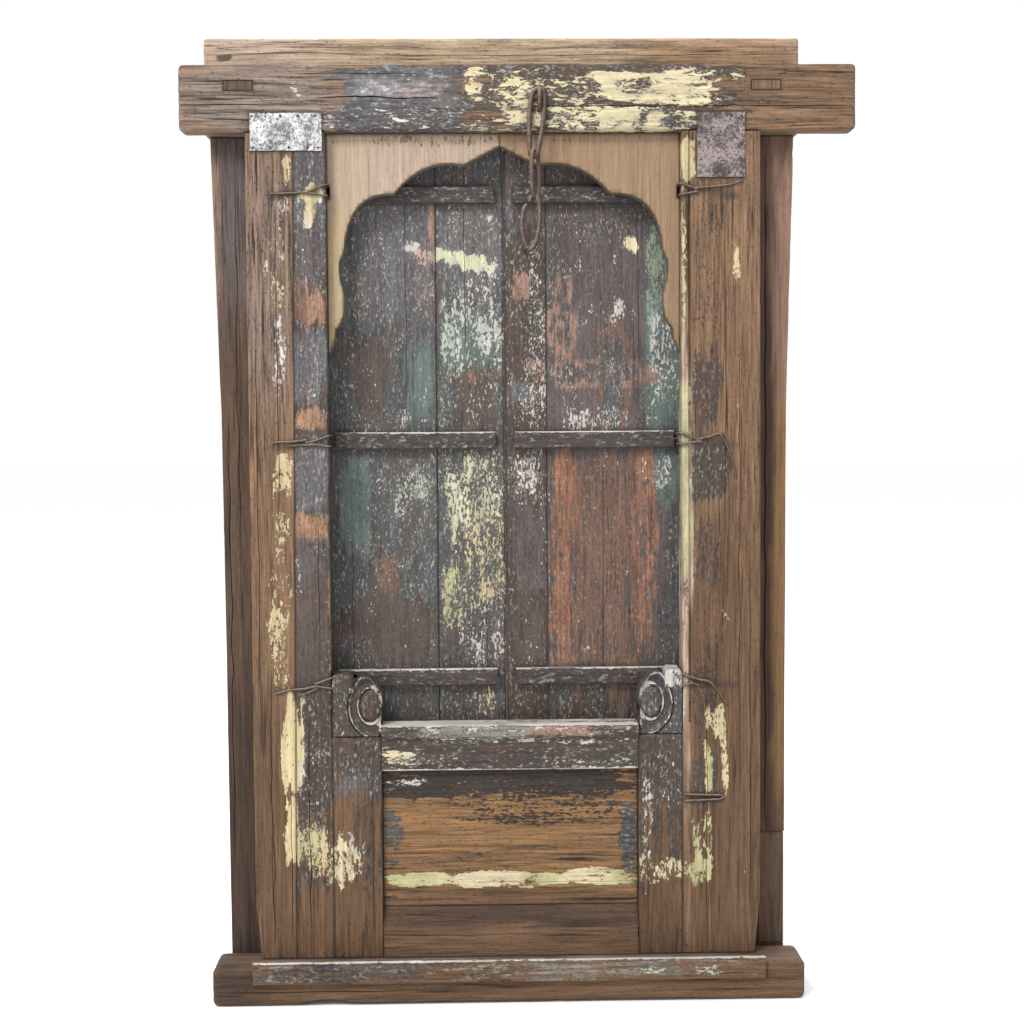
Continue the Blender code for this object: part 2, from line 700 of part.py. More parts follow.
def make_leaf(side_name, side, seam, inner_name, outer_name):
    hinge = leaf_hinge(side_name, side)
    meeting_plank("leaf_" + side_name + "_" + inner_name, side, seam, hinge)
    leaf_plank("leaf_" + side_name + "_" + outer_name, side * seam,
               side * (OPENING_HALF + LEAF_EDGE_LAP), hinge)
    batten_start = side * (MEETING_GAP / 2 + BATTEN_MEETING_GAP)
    batten_end = side * (AXIS_X - BATTEN_HINGE_GAP)
    for place_name, level in BATTEN_LEVELS.items():
        box("leaf_{}_batten_{}".format(side_name, place_name),
            (min(batten_start, batten_end), BATTEN_FRONT, level - BATTEN_HEIGHT / 2),
            (max(batten_start, batten_end), BATTEN_FRONT + BATTEN_THICKNESS,
             level + BATTEN_HEIGHT / 2), "dark_wood", ARRIS, parent=hinge)
        leaf_eye("leaf_{}_eye_{}".format(side_name, place_name), side, level,
                 batten_end, hinge)
    return hinge


# Ironwork on the frame

def hinge_pin(name, side, level):
    """One wire: along the jamb's face, round its edge, back to the eye and forward again."""
    clear = JOINT_GAP + PIN_RADIUS
    half = [(OPENING_HALF + PIN_TAIL * share, -clear, PIN_TAIL_SPREAD, share)
            for share in (1.0, 0.75, 0.5, 0.25)]
    half += [(OPENING_HALF + across, along, PIN_SPREAD, 0.0)
             for across, along in round_line((0, 0), (clear, clear), 270, 180, 3)]
    half += [(PIN_X, FRONT_DEPTH / 2, PIN_SPREAD, 0.0),
             (PIN_X, FRONT_DEPTH + clear, PIN_SPREAD, 0.0),
             (AXIS_X - PIN_RADIUS, AXIS_Y - PIN_RADIUS, PIN_SPREAD, 0.0),
             (AXIS_X, AXIS_Y, PIN_SPREAD - PIN_RADIUS, 0.0)]
    points = [(side * x, y, level + spread - PIN_TAIL_DROP * drop)
              for x, y, spread, drop in half]
    points += [(side * x, y, level - spread - PIN_TAIL_DROP * drop)
               for x, y, spread, drop in reversed(half)]
    wire(name, points, PIN_RADIUS)


def long_link(width, length):
    """Centreline of a long link: two straight sides and two round ends, from its top."""
    radius = width / 2
    straight = length - width
    ends = round_line((0, -radius), (radius, radius), 0, 180, 8)
    ends += round_line((0, -radius - straight), (radius, radius), 180, 360, 8)
    return ends


# The hook's shank: how far down it is, and how far it has moved across and forwards, as
# shares of its length
HOOK_SHARES = [(0.35, 0.0, 0.0), (0.65, 0.01, 0.0), (0.85, 0.0, -0.04),
              (0.95, -0.02, -0.12), (0.98, -0.04, -0.23)]


def make_chain():
    """A staple, two long links and a hook, each held in the one above it."""
    reach = -JOINT_GAP - CHAIN_WIRE
    link_top = LINTEL_TOP - LINK_TOP_DROP
    run = long_link(LINK_WIDTH - 2 * CHAIN_WIRE, LINK_LENGTH - 2 * CHAIN_WIRE)
    top = link_top - CHAIN_WIRE
    wire("chain_link_upper", [(CHAIN_PLACE + x, reach, top + z) for x, z in run],
         CHAIN_WIRE, closed=True)
    link_foot = link_top - LINK_LENGTH + CHAIN_WIRE
    lower_top = link_foot + 2 * CHAIN_WIRE + JOINT_GAP
    run = long_link(LOWER_LINK_WIDTH - 2 * CHAIN_WIRE, LOWER_LINK_LENGTH - 2 * CHAIN_WIRE)
    wire("chain_link_lower", [(CHAIN_PLACE, reach + y, lower_top + z) for y, z in run],
         CHAIN_WIRE, closed=True)
    lower_foot = lower_top - LOWER_LINK_LENGTH + 2 * CHAIN_WIRE
    eye_middle = lower_foot + 2 * CHAIN_WIRE + JOINT_GAP - HOOK_EYE_RADIUS
    loop = round_line((0, 0), (HOOK_EYE_RADIUS, HOOK_EYE_RADIUS), -40, 260, 12)
    points = [(CHAIN_PLACE + x, reach, eye_middle + z) for x, z in loop]
    shank_top = points[-1][2]
    shank_place = points[-1][0]
    for share, side_step, forward in HOOK_SHARES:
        points.append((shank_place + side_step * HOOK_LENGTH, reach + forward * HOOK_LENGTH,
                       shank_top - HOOK_LENGTH * share))
    wire("chain_hook", points, CHAIN_WIRE)
    leg_top = link_top + JOINT_GAP + STAPLE_WIRE
    leg_foot = leg_top - STAPLE_HEIGHT
    crown = reach - CHAIN_WIRE - JOINT_GAP - STAPLE_WIRE
    points = [(CHAIN_PLACE, -JOINT_GAP, leg_top), (CHAIN_PLACE, crown + STAPLE_WIRE, leg_top),
              (CHAIN_PLACE, crown, leg_top - STAPLE_WIRE),
              (CHAIN_PLACE, crown, leg_foot + STAPLE_WIRE),
              (CHAIN_PLACE, crown + STAPLE_WIRE, leg_foot), (CHAIN_PLACE, -JOINT_GAP, leg_foot)]
    wire("chain_staple", points, STAPLE_WIRE)


def make_small_irons(right_hinge):
    """The spare staple on the right jamb and the small one in the right shutter."""
    face = -JOINT_GAP - STAPLE_WIRE
    inner = OPENING_HALF + CLENCH_START
    level = RAIL_TOP - CLENCH_DROP
    points = [(inner, face, level + STAPLE_WIRE * 2),
              (inner + CLENCH_REACH, face, level + STAPLE_WIRE),
              (inner + CLENCH_REACH + STAPLE_WIRE * 2, face, level),
              (inner + CLENCH_REACH, face, level - STAPLE_WIRE * 2),
              (inner, face, level - STAPLE_WIRE * 3)]
    wire("clench_staple", points, STAPLE_WIRE)
    across = (MEETING_GAP + LEAF_SEAM_RIGHT) / 2
    foot = PLANK_FRONT - JOINT_GAP
    crown = foot - SHUTTER_STAPLE_REACH
    half = SHUTTER_STAPLE_HEIGHT / 2
    points = [(across, foot, half), (across, crown + STAPLE_WIRE, half),
              (across, crown, half - STAPLE_WIRE), (across, crown, STAPLE_WIRE - half),
              (across, crown + STAPLE_WIRE, -half), (across, foot, -half)]
    origin = right_hinge.location
    middle = BATTEN_TOP_LEVEL - SHUTTER_STAPLE_DROP
    local = [(x - origin.x, y - origin.y, z + middle) for x, y, z in points]
    add_object("leaf_right_staple", wire_curve("leaf_right_staple", local, STAPLE_WIRE),
               "old_iron", right_hinge)


def make_plates():
    back = -JOINT_GAP
    front = back - PLATE_THICKNESS
    top = JAMB_TOP + PLATE_LAP
    left = -FRONT_HALF + KEY_OFFSET
    box("joint_plate_left", (left, front, top - PLATE_LEFT_HEIGHT),
        (left + PLATE_LEFT_WIDTH, back, top), "zinc", 0.0)
    right = FRONT_HALF - JAMB_WIDTH / 5
    box("joint_plate_right", (right - PLATE_RIGHT_WIDTH, front, top - PLATE_RIGHT_HEIGHT),
        (right, back, top), "zinc", 0.0)


for old in list(bpy.data.objects):
    bpy.data.objects.remove(old)
PARTS = new_collection("wooden_window")
CUTTERS = new_collection("cutters", hidden=True)

make_sill()
make_lintel()
make_front_jambs()
make_rear_frame()
make_arch()
make_panel()
make_scrolls()
make_leaf("left", -1, LEAF_SEAM_LEFT, "plank_inner", "plank_outer")
right_leaf = make_leaf("right", 1, LEAF_SEAM_RIGHT, "stile", "plank")
for side_word, side_sign in SIDES.items():
    for level_word, level_height in BATTEN_LEVELS.items():
        hinge_pin("hinge_pin_{}_{}".format(side_word, level_word), side_sign, level_height)
make_chain()
make_small_irons(right_leaf)
make_plates()
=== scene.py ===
"""Looks of the old wooden window: worn wood under many coats of paint, rusty iron and tin.

Metres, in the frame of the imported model: +Z up, front towards -Y. Every wooden piece is a
finely cut copy of its CAD node, worn by displacement, and carries its own colours on its
vertices. One wood material breaks these colours into grain, coats and flakes.
"""
import itertools
import json
import math
import random

import bmesh
import bpy
import numpy as np
from mathutils import Matrix, Vector
from mathutils.bvhtree import BVHTree

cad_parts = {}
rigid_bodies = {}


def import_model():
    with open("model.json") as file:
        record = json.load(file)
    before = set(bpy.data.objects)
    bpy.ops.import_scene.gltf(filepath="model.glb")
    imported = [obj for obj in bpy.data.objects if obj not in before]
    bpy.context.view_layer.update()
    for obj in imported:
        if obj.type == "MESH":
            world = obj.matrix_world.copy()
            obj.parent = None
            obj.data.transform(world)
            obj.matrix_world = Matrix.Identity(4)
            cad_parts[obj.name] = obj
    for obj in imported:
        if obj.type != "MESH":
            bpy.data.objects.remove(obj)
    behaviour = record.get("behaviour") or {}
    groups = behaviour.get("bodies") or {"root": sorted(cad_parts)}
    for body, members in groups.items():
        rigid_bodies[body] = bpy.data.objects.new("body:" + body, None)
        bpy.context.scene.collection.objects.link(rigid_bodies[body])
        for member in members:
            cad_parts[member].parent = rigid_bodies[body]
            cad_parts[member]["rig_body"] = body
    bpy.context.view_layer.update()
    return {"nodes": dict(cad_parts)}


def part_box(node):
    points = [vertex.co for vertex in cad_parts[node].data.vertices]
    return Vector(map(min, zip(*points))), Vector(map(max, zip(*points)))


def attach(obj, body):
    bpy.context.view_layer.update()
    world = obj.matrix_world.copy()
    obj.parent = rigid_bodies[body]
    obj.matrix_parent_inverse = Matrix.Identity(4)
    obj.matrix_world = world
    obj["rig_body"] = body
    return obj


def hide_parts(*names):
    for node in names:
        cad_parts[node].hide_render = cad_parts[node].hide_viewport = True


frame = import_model()
NODES = frame["nodes"]
NODE_BODY = {n: o["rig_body"] for n, o in NODES.items()}
MM = 0.001
# Number of the axis along the grain, and of the one across it on the front face
AXES = {"X": 0, "Z": 2}
ACROSS = {0: 2, 2: 0}

# Camera of the photograph: place, then heading, tilt and roll in degrees, and lens in mm
CAMERA_PLACE = (-0.0444, -2.400, 0.8503)
CAMERA_YAW = 1.27
CAMERA_PITCH = 2.73
CAMERA_ROLL = -0.41
CAMERA_LENS = 56.25
SENSOR_WIDTH = 36.0
PHOTO_SIZE = 1024

# Area lamps: place, target, width and power
LAMPS = {"key": ((-2.4, -3.6, 5.0), (0, 0, 0.75), 1.8, 330),
         "back": ((1.6, 3.8, 4.0), (0, 0, 0.9), 2.5, 80)}
FLOOR_SIZE = 80
FLOOR_TONES = ((0.98, 0.98, 0.978, 1), (0.995, 0.995, 0.993, 1))

# Colours as they look under white light, in the 0 to 255 values of a screen: bare wood,
# dark coats and tints, pale paint, then iron
COLOURS = {
    "grey_wood": (146, 129, 117), "brown_wood": (134, 104, 78), "warm_brown": (116, 87, 61),
    "dark_wood": (82, 61, 47), "umber_wood": (104, 80, 62), "tan_brown": (142, 116, 96),
    "pink_tan": (199, 178, 157), "pale_tan": (197, 172, 142), "brown_tan": (170, 138, 106),
    "gold_tan": (205, 182, 144), "gold_brown": (172, 143, 113), "ochre": (146, 110, 72),
    "post_grey": (136, 114, 100), "rear_grey": (108, 94, 90), "rear_tan": (158, 126, 106),
    "dusk": (92, 80, 78),
    "slate": (98, 98, 101), "pale_slate": (138, 137, 142), "dark_slate": (82, 81, 84),
    "charcoal": (80, 81, 81), "umber": (74, 62, 53), "dark_umber": (60, 50, 44),
    # rose is the colour of the painted shadow that the lintel casts on the arch boards
    "batten_grey": (66, 58, 57), "plum": (86, 70, 62), "rose": (150, 120, 106),
    "brick": (122, 88, 70), "orange": (164, 124, 96), "rust": (152, 102, 74),
    "salmon": (164, 126, 108), "grey_green": (140, 136, 124), "dull_teal": (92, 106, 102),
    "cream": (234, 219, 178), "aged_cream": (222, 204, 158), "chalk": (224, 218, 208),
    "pink": (204, 174, 160), "olive_cream": (206, 202, 150), "cream_green": (218, 218, 182),
    "pale_green": (196, 206, 186), "green": (152, 166, 142), "turquoise": (146, 168, 162),
    "mint": (134, 170, 148),
    "iron": (84, 70, 68), "rust_red": (104, 76, 64),
}
# Share of the light that these colours return
LIGHT_SHARE = 0.60

# Each piece of wood: grain axis, cell sizes along X, Y and Z in mm, bare colour, coat and
# how much of it is left, how much chalky paint is left in flakes, coarseness of the
# flakes, wear of the arrises in mm and depth of the grain in mm
POST = ("Z", (2.8, 7, 7))
LEAF = ("Z", (2.8, 8, 7), "umber_wood")
WOOD = {
    "rear_header": ("X", (8, 12, 4), "pale_tan", "rose", 0, 0, 0.5, 1.6, 0.7),
    "rear_jamb_left": ("Z", (4, 9, 9), "dark_wood", "plum", 0, 0.03, 0.3, 2.2, 0.9),
    "rear_jamb_right": ("Z", (4, 9, 9), "dark_wood", "plum", 0, 0.02, 0.3, 2.2, 0.9),
    "rear_jamb_repair": ("Z", (5, 12, 8), "umber_wood", "slate", 0.2, 0, 0.3, 1.2, 0.5),
    "lintel": ("X", (7, 7, 2.6), "brown_wood", "umber", 0.05, 0.03, 1.0, 2.5, 0.9),
    "lintel_key_left": ("Z", (5, 12, 4), "umber_wood", "umber", 0.1, 0, 0.5, 0.6, 0.4),
    "lintel_key_right": ("Z", (5, 12, 4), "brown_wood", "umber", 0.1, 0, 0.5, 0.6, 0.4),
    "front_jamb_left_outer": (*POST, "brown_wood", "plum", 0.06, 0.06, 0.5, 2.2, 1.0),
    "front_jamb_left_inner": (*POST, "brown_wood", "umber", 0.8, 0.10, 0.5, 1.8, 0.8),
    "front_jamb_right": (*POST, "brown_wood", "plum", 0.06, 0.05, 0.5, 1.8, 0.9),
    "arch_spandrel_left": ("Z", (4, 6, 6), "gold_tan", "rose", 0.05, 0, 0.5, 0.5, 0.3),
    "arch_spandrel_right": ("Z", (4, 6, 6), "gold_brown", "rose", 0.05, 0, 0.5, 0.5, 0.3),
    "panel_stile_left": ("Z", (3, 9, 7), "warm_brown", "umber", 0.5, 0.08, 0.6, 1.4, 0.7),
    "panel_stile_right": ("Z", (3, 9, 7), "warm_brown", "umber", 0.5, 0.08, 0.6, 1.4, 0.7),
    "panel_top_rail": ("X", (7, 4, 2.5), "brown_wood", "umber", 0.9, 0.12, 0.6, 0.9, 0.6),
    "panel_bottom_rail": ("X", (7, 5, 3), "warm_brown", "umber", 0.15, 0.02, 0.6, 1.2, 0.7),
    "panel_board": ("X", (7, 9, 3), "ochre", "umber", 0.15, 0.03, 0.6, 0.4, 0.6),
    "sill": ("X", (7, 6, 4), "warm_brown", "umber", 0.12, 0.01, 0.6, 3.0, 1.2),
    "threshold_strip": ("X", (7, 3, 3), "warm_brown", "grey_green", 0.4, 0.06, 0.6, 1.2, 0.6),
    "leaf_left_plank_outer": (*LEAF, "charcoal", 0.84, 0.30, 0.1, 0.8, 0.6),
    "leaf_left_plank_inner": (*LEAF, "charcoal", 0.84, 0.30, 0.1, 0.8, 0.6),
    "leaf_right_stile": (*LEAF, "umber", 0.82, 0.30, 0.1, 0.8, 0.6),
    "leaf_right_plank": (*LEAF, "charcoal", 0.80, 0.27, 0.1, 0.8, 0.6),
}
LEVELS = tuple(itertools.product(("left", "right"), ("top", "middle", "bottom")))
for level in LEVELS:
    WOOD["leaf_{}_batten_{}".format(*level)] = (
        "X", (6, 4, 3), "dusk", "batten_grey", 0.80, 0.24, 0.4, 1.0, 0.5)

# Width of the worn arrises in mm, and how fast wear and bare wood fade behind them
ARRIS = 1.0
WEAR_FADE = 0.003
BARE_FADE = 0.0022
# What lies further than this from two faces at once is the rim of an opening
RIM_FROM = 0.0012
# How far grime and painted shade reach from a joint, how fast they fade, and how much painted
# shade the arch's rim holds
SHADE_AND_GRIME_REACH = 0.006
SHADE_AND_GRIME_FADE = 0.0013
ARCH_RIM_SHADE = 0.75
# Share of the tints and flakes that the backs have lost
BACK_LOSS = 0.8
# Pieces whose upper arris, and on the top rail the lower one too, carries a pale line, partly
# worn pale paint and partly a painted highlight, and how far down it reaches
PAINTED_HIGHLIGHT_EDGES = ("panel_top_rail", "threshold_strip", "leaf_left_batten_middle",
             "leaf_left_batten_bottom", "leaf_right_batten_middle",
             "leaf_right_batten_bottom")
PAINTED_HIGHLIGHT_REACH = 0.0034
# The shutters' meeting edges close up behind their chamfers: towards +X or -X
MEETING_SIDE = {"leaf_left_plank_inner": 1, "leaf_right_stile": -1}
MEETING_LAP = 0.0002
MEETING_CHAMFER = 0.004

# Contrast of the grain below and above, where it isn't 1, and the heights between which
# it changes
FIGURE = {"arch_spandrel_left": (0.42, 0.42), "arch_spandrel_right": (0.42, 0.42),
          "rear_header": (1.15, 1.15), "lintel": (1.4, 1.4), "panel_board": (1.3, 1.3),
          "rear_jamb_right": (0.6, 0.6), "front_jamb_left_outer": (1.0, 1.8),
          "front_jamb_left_inner": (1.0, 1.5), "front_jamb_right": (1.0, 1.4)}
FIGURE_HEIGHTS = (0.6, 1.1)

# Carved scrolls, in mm: middle and radii of the eye, silhouette on the side of the
# opening, foot, side and height of the knob, cell size, and how far the outer band reaches
# round the eye, in eye radii by angle
SCROLL_MID = (217.3, 447.5)
SCROLL_EYE = (16.0, 24.0)
SCROLL_EDGE = ((199, 398.5), (199, 413), (202, 421), (203, 432), (200.5, 442),
               (199, 454), (200, 466), (205, 473.5), (211, 481), (216, 488.5),
               (223.5, 492.5), (231.5, 491.5), (237.0, 487.0))
SCROLL_FOOT = 398.5
KNOB_SIDE = 264.2
KNOB_HEIGHT = 29
SCROLL_CELL = 0.0013
SCROLL_REACH = ((0, 2.04), (27, 1.90), (64, 2.03), (78, 1.91), (93, 1.70), (106, 1.45),
                (124, 1.31), (144, 1.38), (166, 1.34), (192, 1.16), (216, 1.3),
                (240, 1.9), (256, 2.2), (279, 2.0), (308, 1.95), (335, 2.04), (360, 2.04))
# Each scroll: 1 for the right one and -1 for the left, middle of its eye, top of its knob,
# where the knob begins, and how much paint the knob holds
SCROLLS = {"scroll_bracket_right": (1, (217.3, 447.5), 497.5, 239, 0.62),
           "scroll_bracket_left": (-1, (-207.0, 445.0), 493.5, 234, 0.34)}

# Tin plates: material, pale and dark tone, share of dark specks, depth of the mottling and
# height of a light band in mm
TIN = {"joint_plate_left": ("pale_tin", (0.55, 0.54, 0.54), (0.13, 0.13, 0.14), 0.20,
                            0.22, None),
       "joint_plate_right": ("dark_tin", (0.27, 0.215, 0.205), (0.045, 0.036, 0.035), 0.30,
                             0.20, 1268)}

# Sides of a wire, cell of the forged surface, and the direction, near the key lamp's, from which
# pale dust and a painted highlight fall on the iron
WIRE_SIDES = 10
FORGED_CELL = 0.0009
HIGHLIGHT_AND_DUST_FROM = (-0.25, -0.45, 0.86)

# Bent tails of the hinge pins on the jambs' faces: where the tail starts, then its bars
# with radius and places in mm
PIN_TAILS = {
    "hinge_pin_left_top": (-292, [
        (1.7, ((-288, -2.2, 1213), (-310, -2.0, 1212), (-330, -2.0, 1211), (-346, -1.6, 1211)))]),
    "hinge_pin_left_middle": (-300, [
        (1.8, ((-296, -2.3, 846), (-318, -2.1, 843.5), (-336, -2.1, 843), (-350, -1.7, 842))),
        (1.4, ((-296, -2.3, 839), (-312, -2.0, 838), (-324, -1.8, 837)))]),
    "hinge_pin_left_bottom": (-290, [
        (1.9, ((-286, -2.3, 476), (-305, -2.2, 472), (-328, -2.1, 470), (-349, -1.8, 465))),
        (1.5, ((-286, -2.3, 473), (-300, -2.1, 466), (-313, -1.8, 462)))]),
    "hinge_pin_right_top": (290, [
        (1.9, ((286, -2.3, 1217), (312, -2.2, 1219), (338, -2.1, 1222), (356, -1.8, 1228)))]),
    "hinge_pin_right_middle": (296, [
        (1.9, ((292, -2.3, 844), (308, -2.2, 847), (320, -2.2, 851), (330, -2.2, 838),
               (338, -2.2, 818), (344, -2.0, 798), (346, -1.8, 784)))]),
    "hinge_pin_right_bottom": (282, [
        (2.0, ((276, -2.3, 485), (290, -2.3, 480), (306, -2.2, 476), (315, -2.2, 466),
               (324, -2.2, 454), (332, -1.8, 441))),
        (1.4, ((276, -2.3, 478), (284, -2.1, 473), (292, -1.8, 471)))]),
}

# Bent bars of the chain, in mm: places along a bar, its radius and how much it thins
CHAIN_BARS = {
    "chain_staple": (((54, -0.2, 1362), (54, -7, 1362), (54, -10.2, 1355), (54, -10.2, 1342),
                      (54, -6, 1334), (54, -0.2, 1333)), 3.4, 0),
    "chain_hook": (((38, -5, 1196), (42, -6, 1205), (49, -6, 1203), (52.5, -7, 1190),
                    (52.5, -7, 1165), (47, -8, 1138), (38, -9, 1126), (30, -9, 1138),
                    (26.5, -9, 1162), (29, -9, 1184), (34, -8, 1193)), 4.2, 0.35),
}
# Links of the chain, in mm: middle, lower and upper end, half width at each, how far the
# lower end leans, turn in degrees, and radius of the wire
CHAIN_LINKS = {
    "chain_link_upper": ((52.5, -4.2), (1263, 1363), (7.4, 12.6), -8.0, 0, 3.7),
    "chain_link_lower": ((46.5, -5.0), (1202, 1274), (9.0, 9.0), 1.0, 50, 3.2),
}
LINK_STEPS = 20

# Nail heads by body: radius, then places in mm
NAILS = {
    "frame": (2.0, [(x, -1.4, 1325) for x in (-372, -352, -330, -304, -280)]
              + [(x, -1.4, 1279) for x in (-371, -346, -318, -290, -275)]
              + [(x, -1.4, 1324) for x in (293, 316, 340, 355)]
              + [(x, -1.4, 1240) for x in (293, 315, 336, 354)]
              + [(x, -1.4, 1284) for x in (292, 356)]
              + [(-312, 0.2, 67), (-254, 0.2, 64), (-231, 0.2, 64), (216, 0.2, 67),
                 (270, 0.2, 73), (-93, -47.0, 52), (33, -47.0, 53), (-300, -47.0, 54),
                 (250, -47.0, 54), (-246, 0.2, 372), (-206, 0.2, 370), (246, 0.2, 372)]),
    "leaf_left": (2.1, [(x, 47.2, 1216) for x in (-236, -160, -118, -40)]
                  + [(x, 47.2, 844) for x in (-238, -165, -120, -50, -22)]
                  + [(x, 47.2, 481) for x in (-236, -160, -78, -20)]),
    "leaf_right": (2.1, [(x, 47.2, 1216) for x in (36, 90, 160, 236)]
                   + [(x, 47.2, 844) for x in (36, 88, 164, 238)]
                   + [(x, 47.2, 480) for x in (38, 92, 166, 236)]),
}

# Long cracks, in mm: place across the grain, start and end along it, width, depth and
# waviness
CRACKS = {
    "lintel": [(1342, -480, -332, 1.6, 5, 1.5), (1352, -276, -98, 3.0, 7, 3.0),
               (1339, 48, 526, 1.8, 6, 1.2), (1372, -470, -300, 1.2, 3, 2.0),
               (1387, -300, -120, 1.2, 3, 1.5), (1330, -470, -390, 1.0, 2.5, 1.0)],
    "rear_header": [(1424, -200, 448, 1.0, 3, 1.5), (1436, -330, -120, 1.0, 3, 1.0)],
    "front_jamb_left_outer": [(-372, 420, 1000, 1.2, 3, 2.0), (-340, 700, 1200, 1.2, 3, 2.0),
                              (-355, 80, 500, 1.4, 4, 2.5), (-328, 80, 330, 1.2, 3, 1.0)],
    "front_jamb_left_inner": [(-300, 62, 420, 1.4, 4, 1.5), (-282, 500, 760, 1.0, 2, 1.0)],
    "front_jamb_right": [(302, 62, 420, 1.4, 4, 1.5), (352, 300, 1000, 1.2, 3, 2.5),
                         (330, 700, 1200, 1.0, 2.5, 2.0), (368, 100, 700, 1.0, 2.5, 1.5)],
    "rear_jamb_left": [(-420, 200, 900, 1.4, 4, 2.5), (-405, 650, 1290, 1.2, 3, 2.5)],
    "rear_jamb_right": [(398, 240, 1290, 2.0, 5, 2.0)],
    "leaf_left_plank_outer": [(-236, 420, 700, 1.0, 2.5, 1.5), (-150, 900, 1240, 1.0, 2.5, 1.5)],
    "leaf_left_plank_inner": [(-60, 980, 1280, 1.0, 2.5, 1.0), (-30, 420, 640, 1.0, 2.5, 1.0)],
    "leaf_right_plank": [(150, 420, 800, 1.0, 2.5, 1.5), (205, 900, 1250, 1.0, 2.5, 1.5)],
    "panel_board": [(226, -190, 30, 1.0, 2.0, 1.0), (170, -60, 198, 1.0, 2.0, 1.5)],
    "panel_bottom_rail": [(92, -180, 90, 1.0, 2.0, 1.0), (80, 20, 190, 1.0, 2.0, 1.0)],
    "sill": [(22, -430, -150, 1.6, 4, 1.5), (34, -60, 420, 1.2, 3, 2.0)],
}
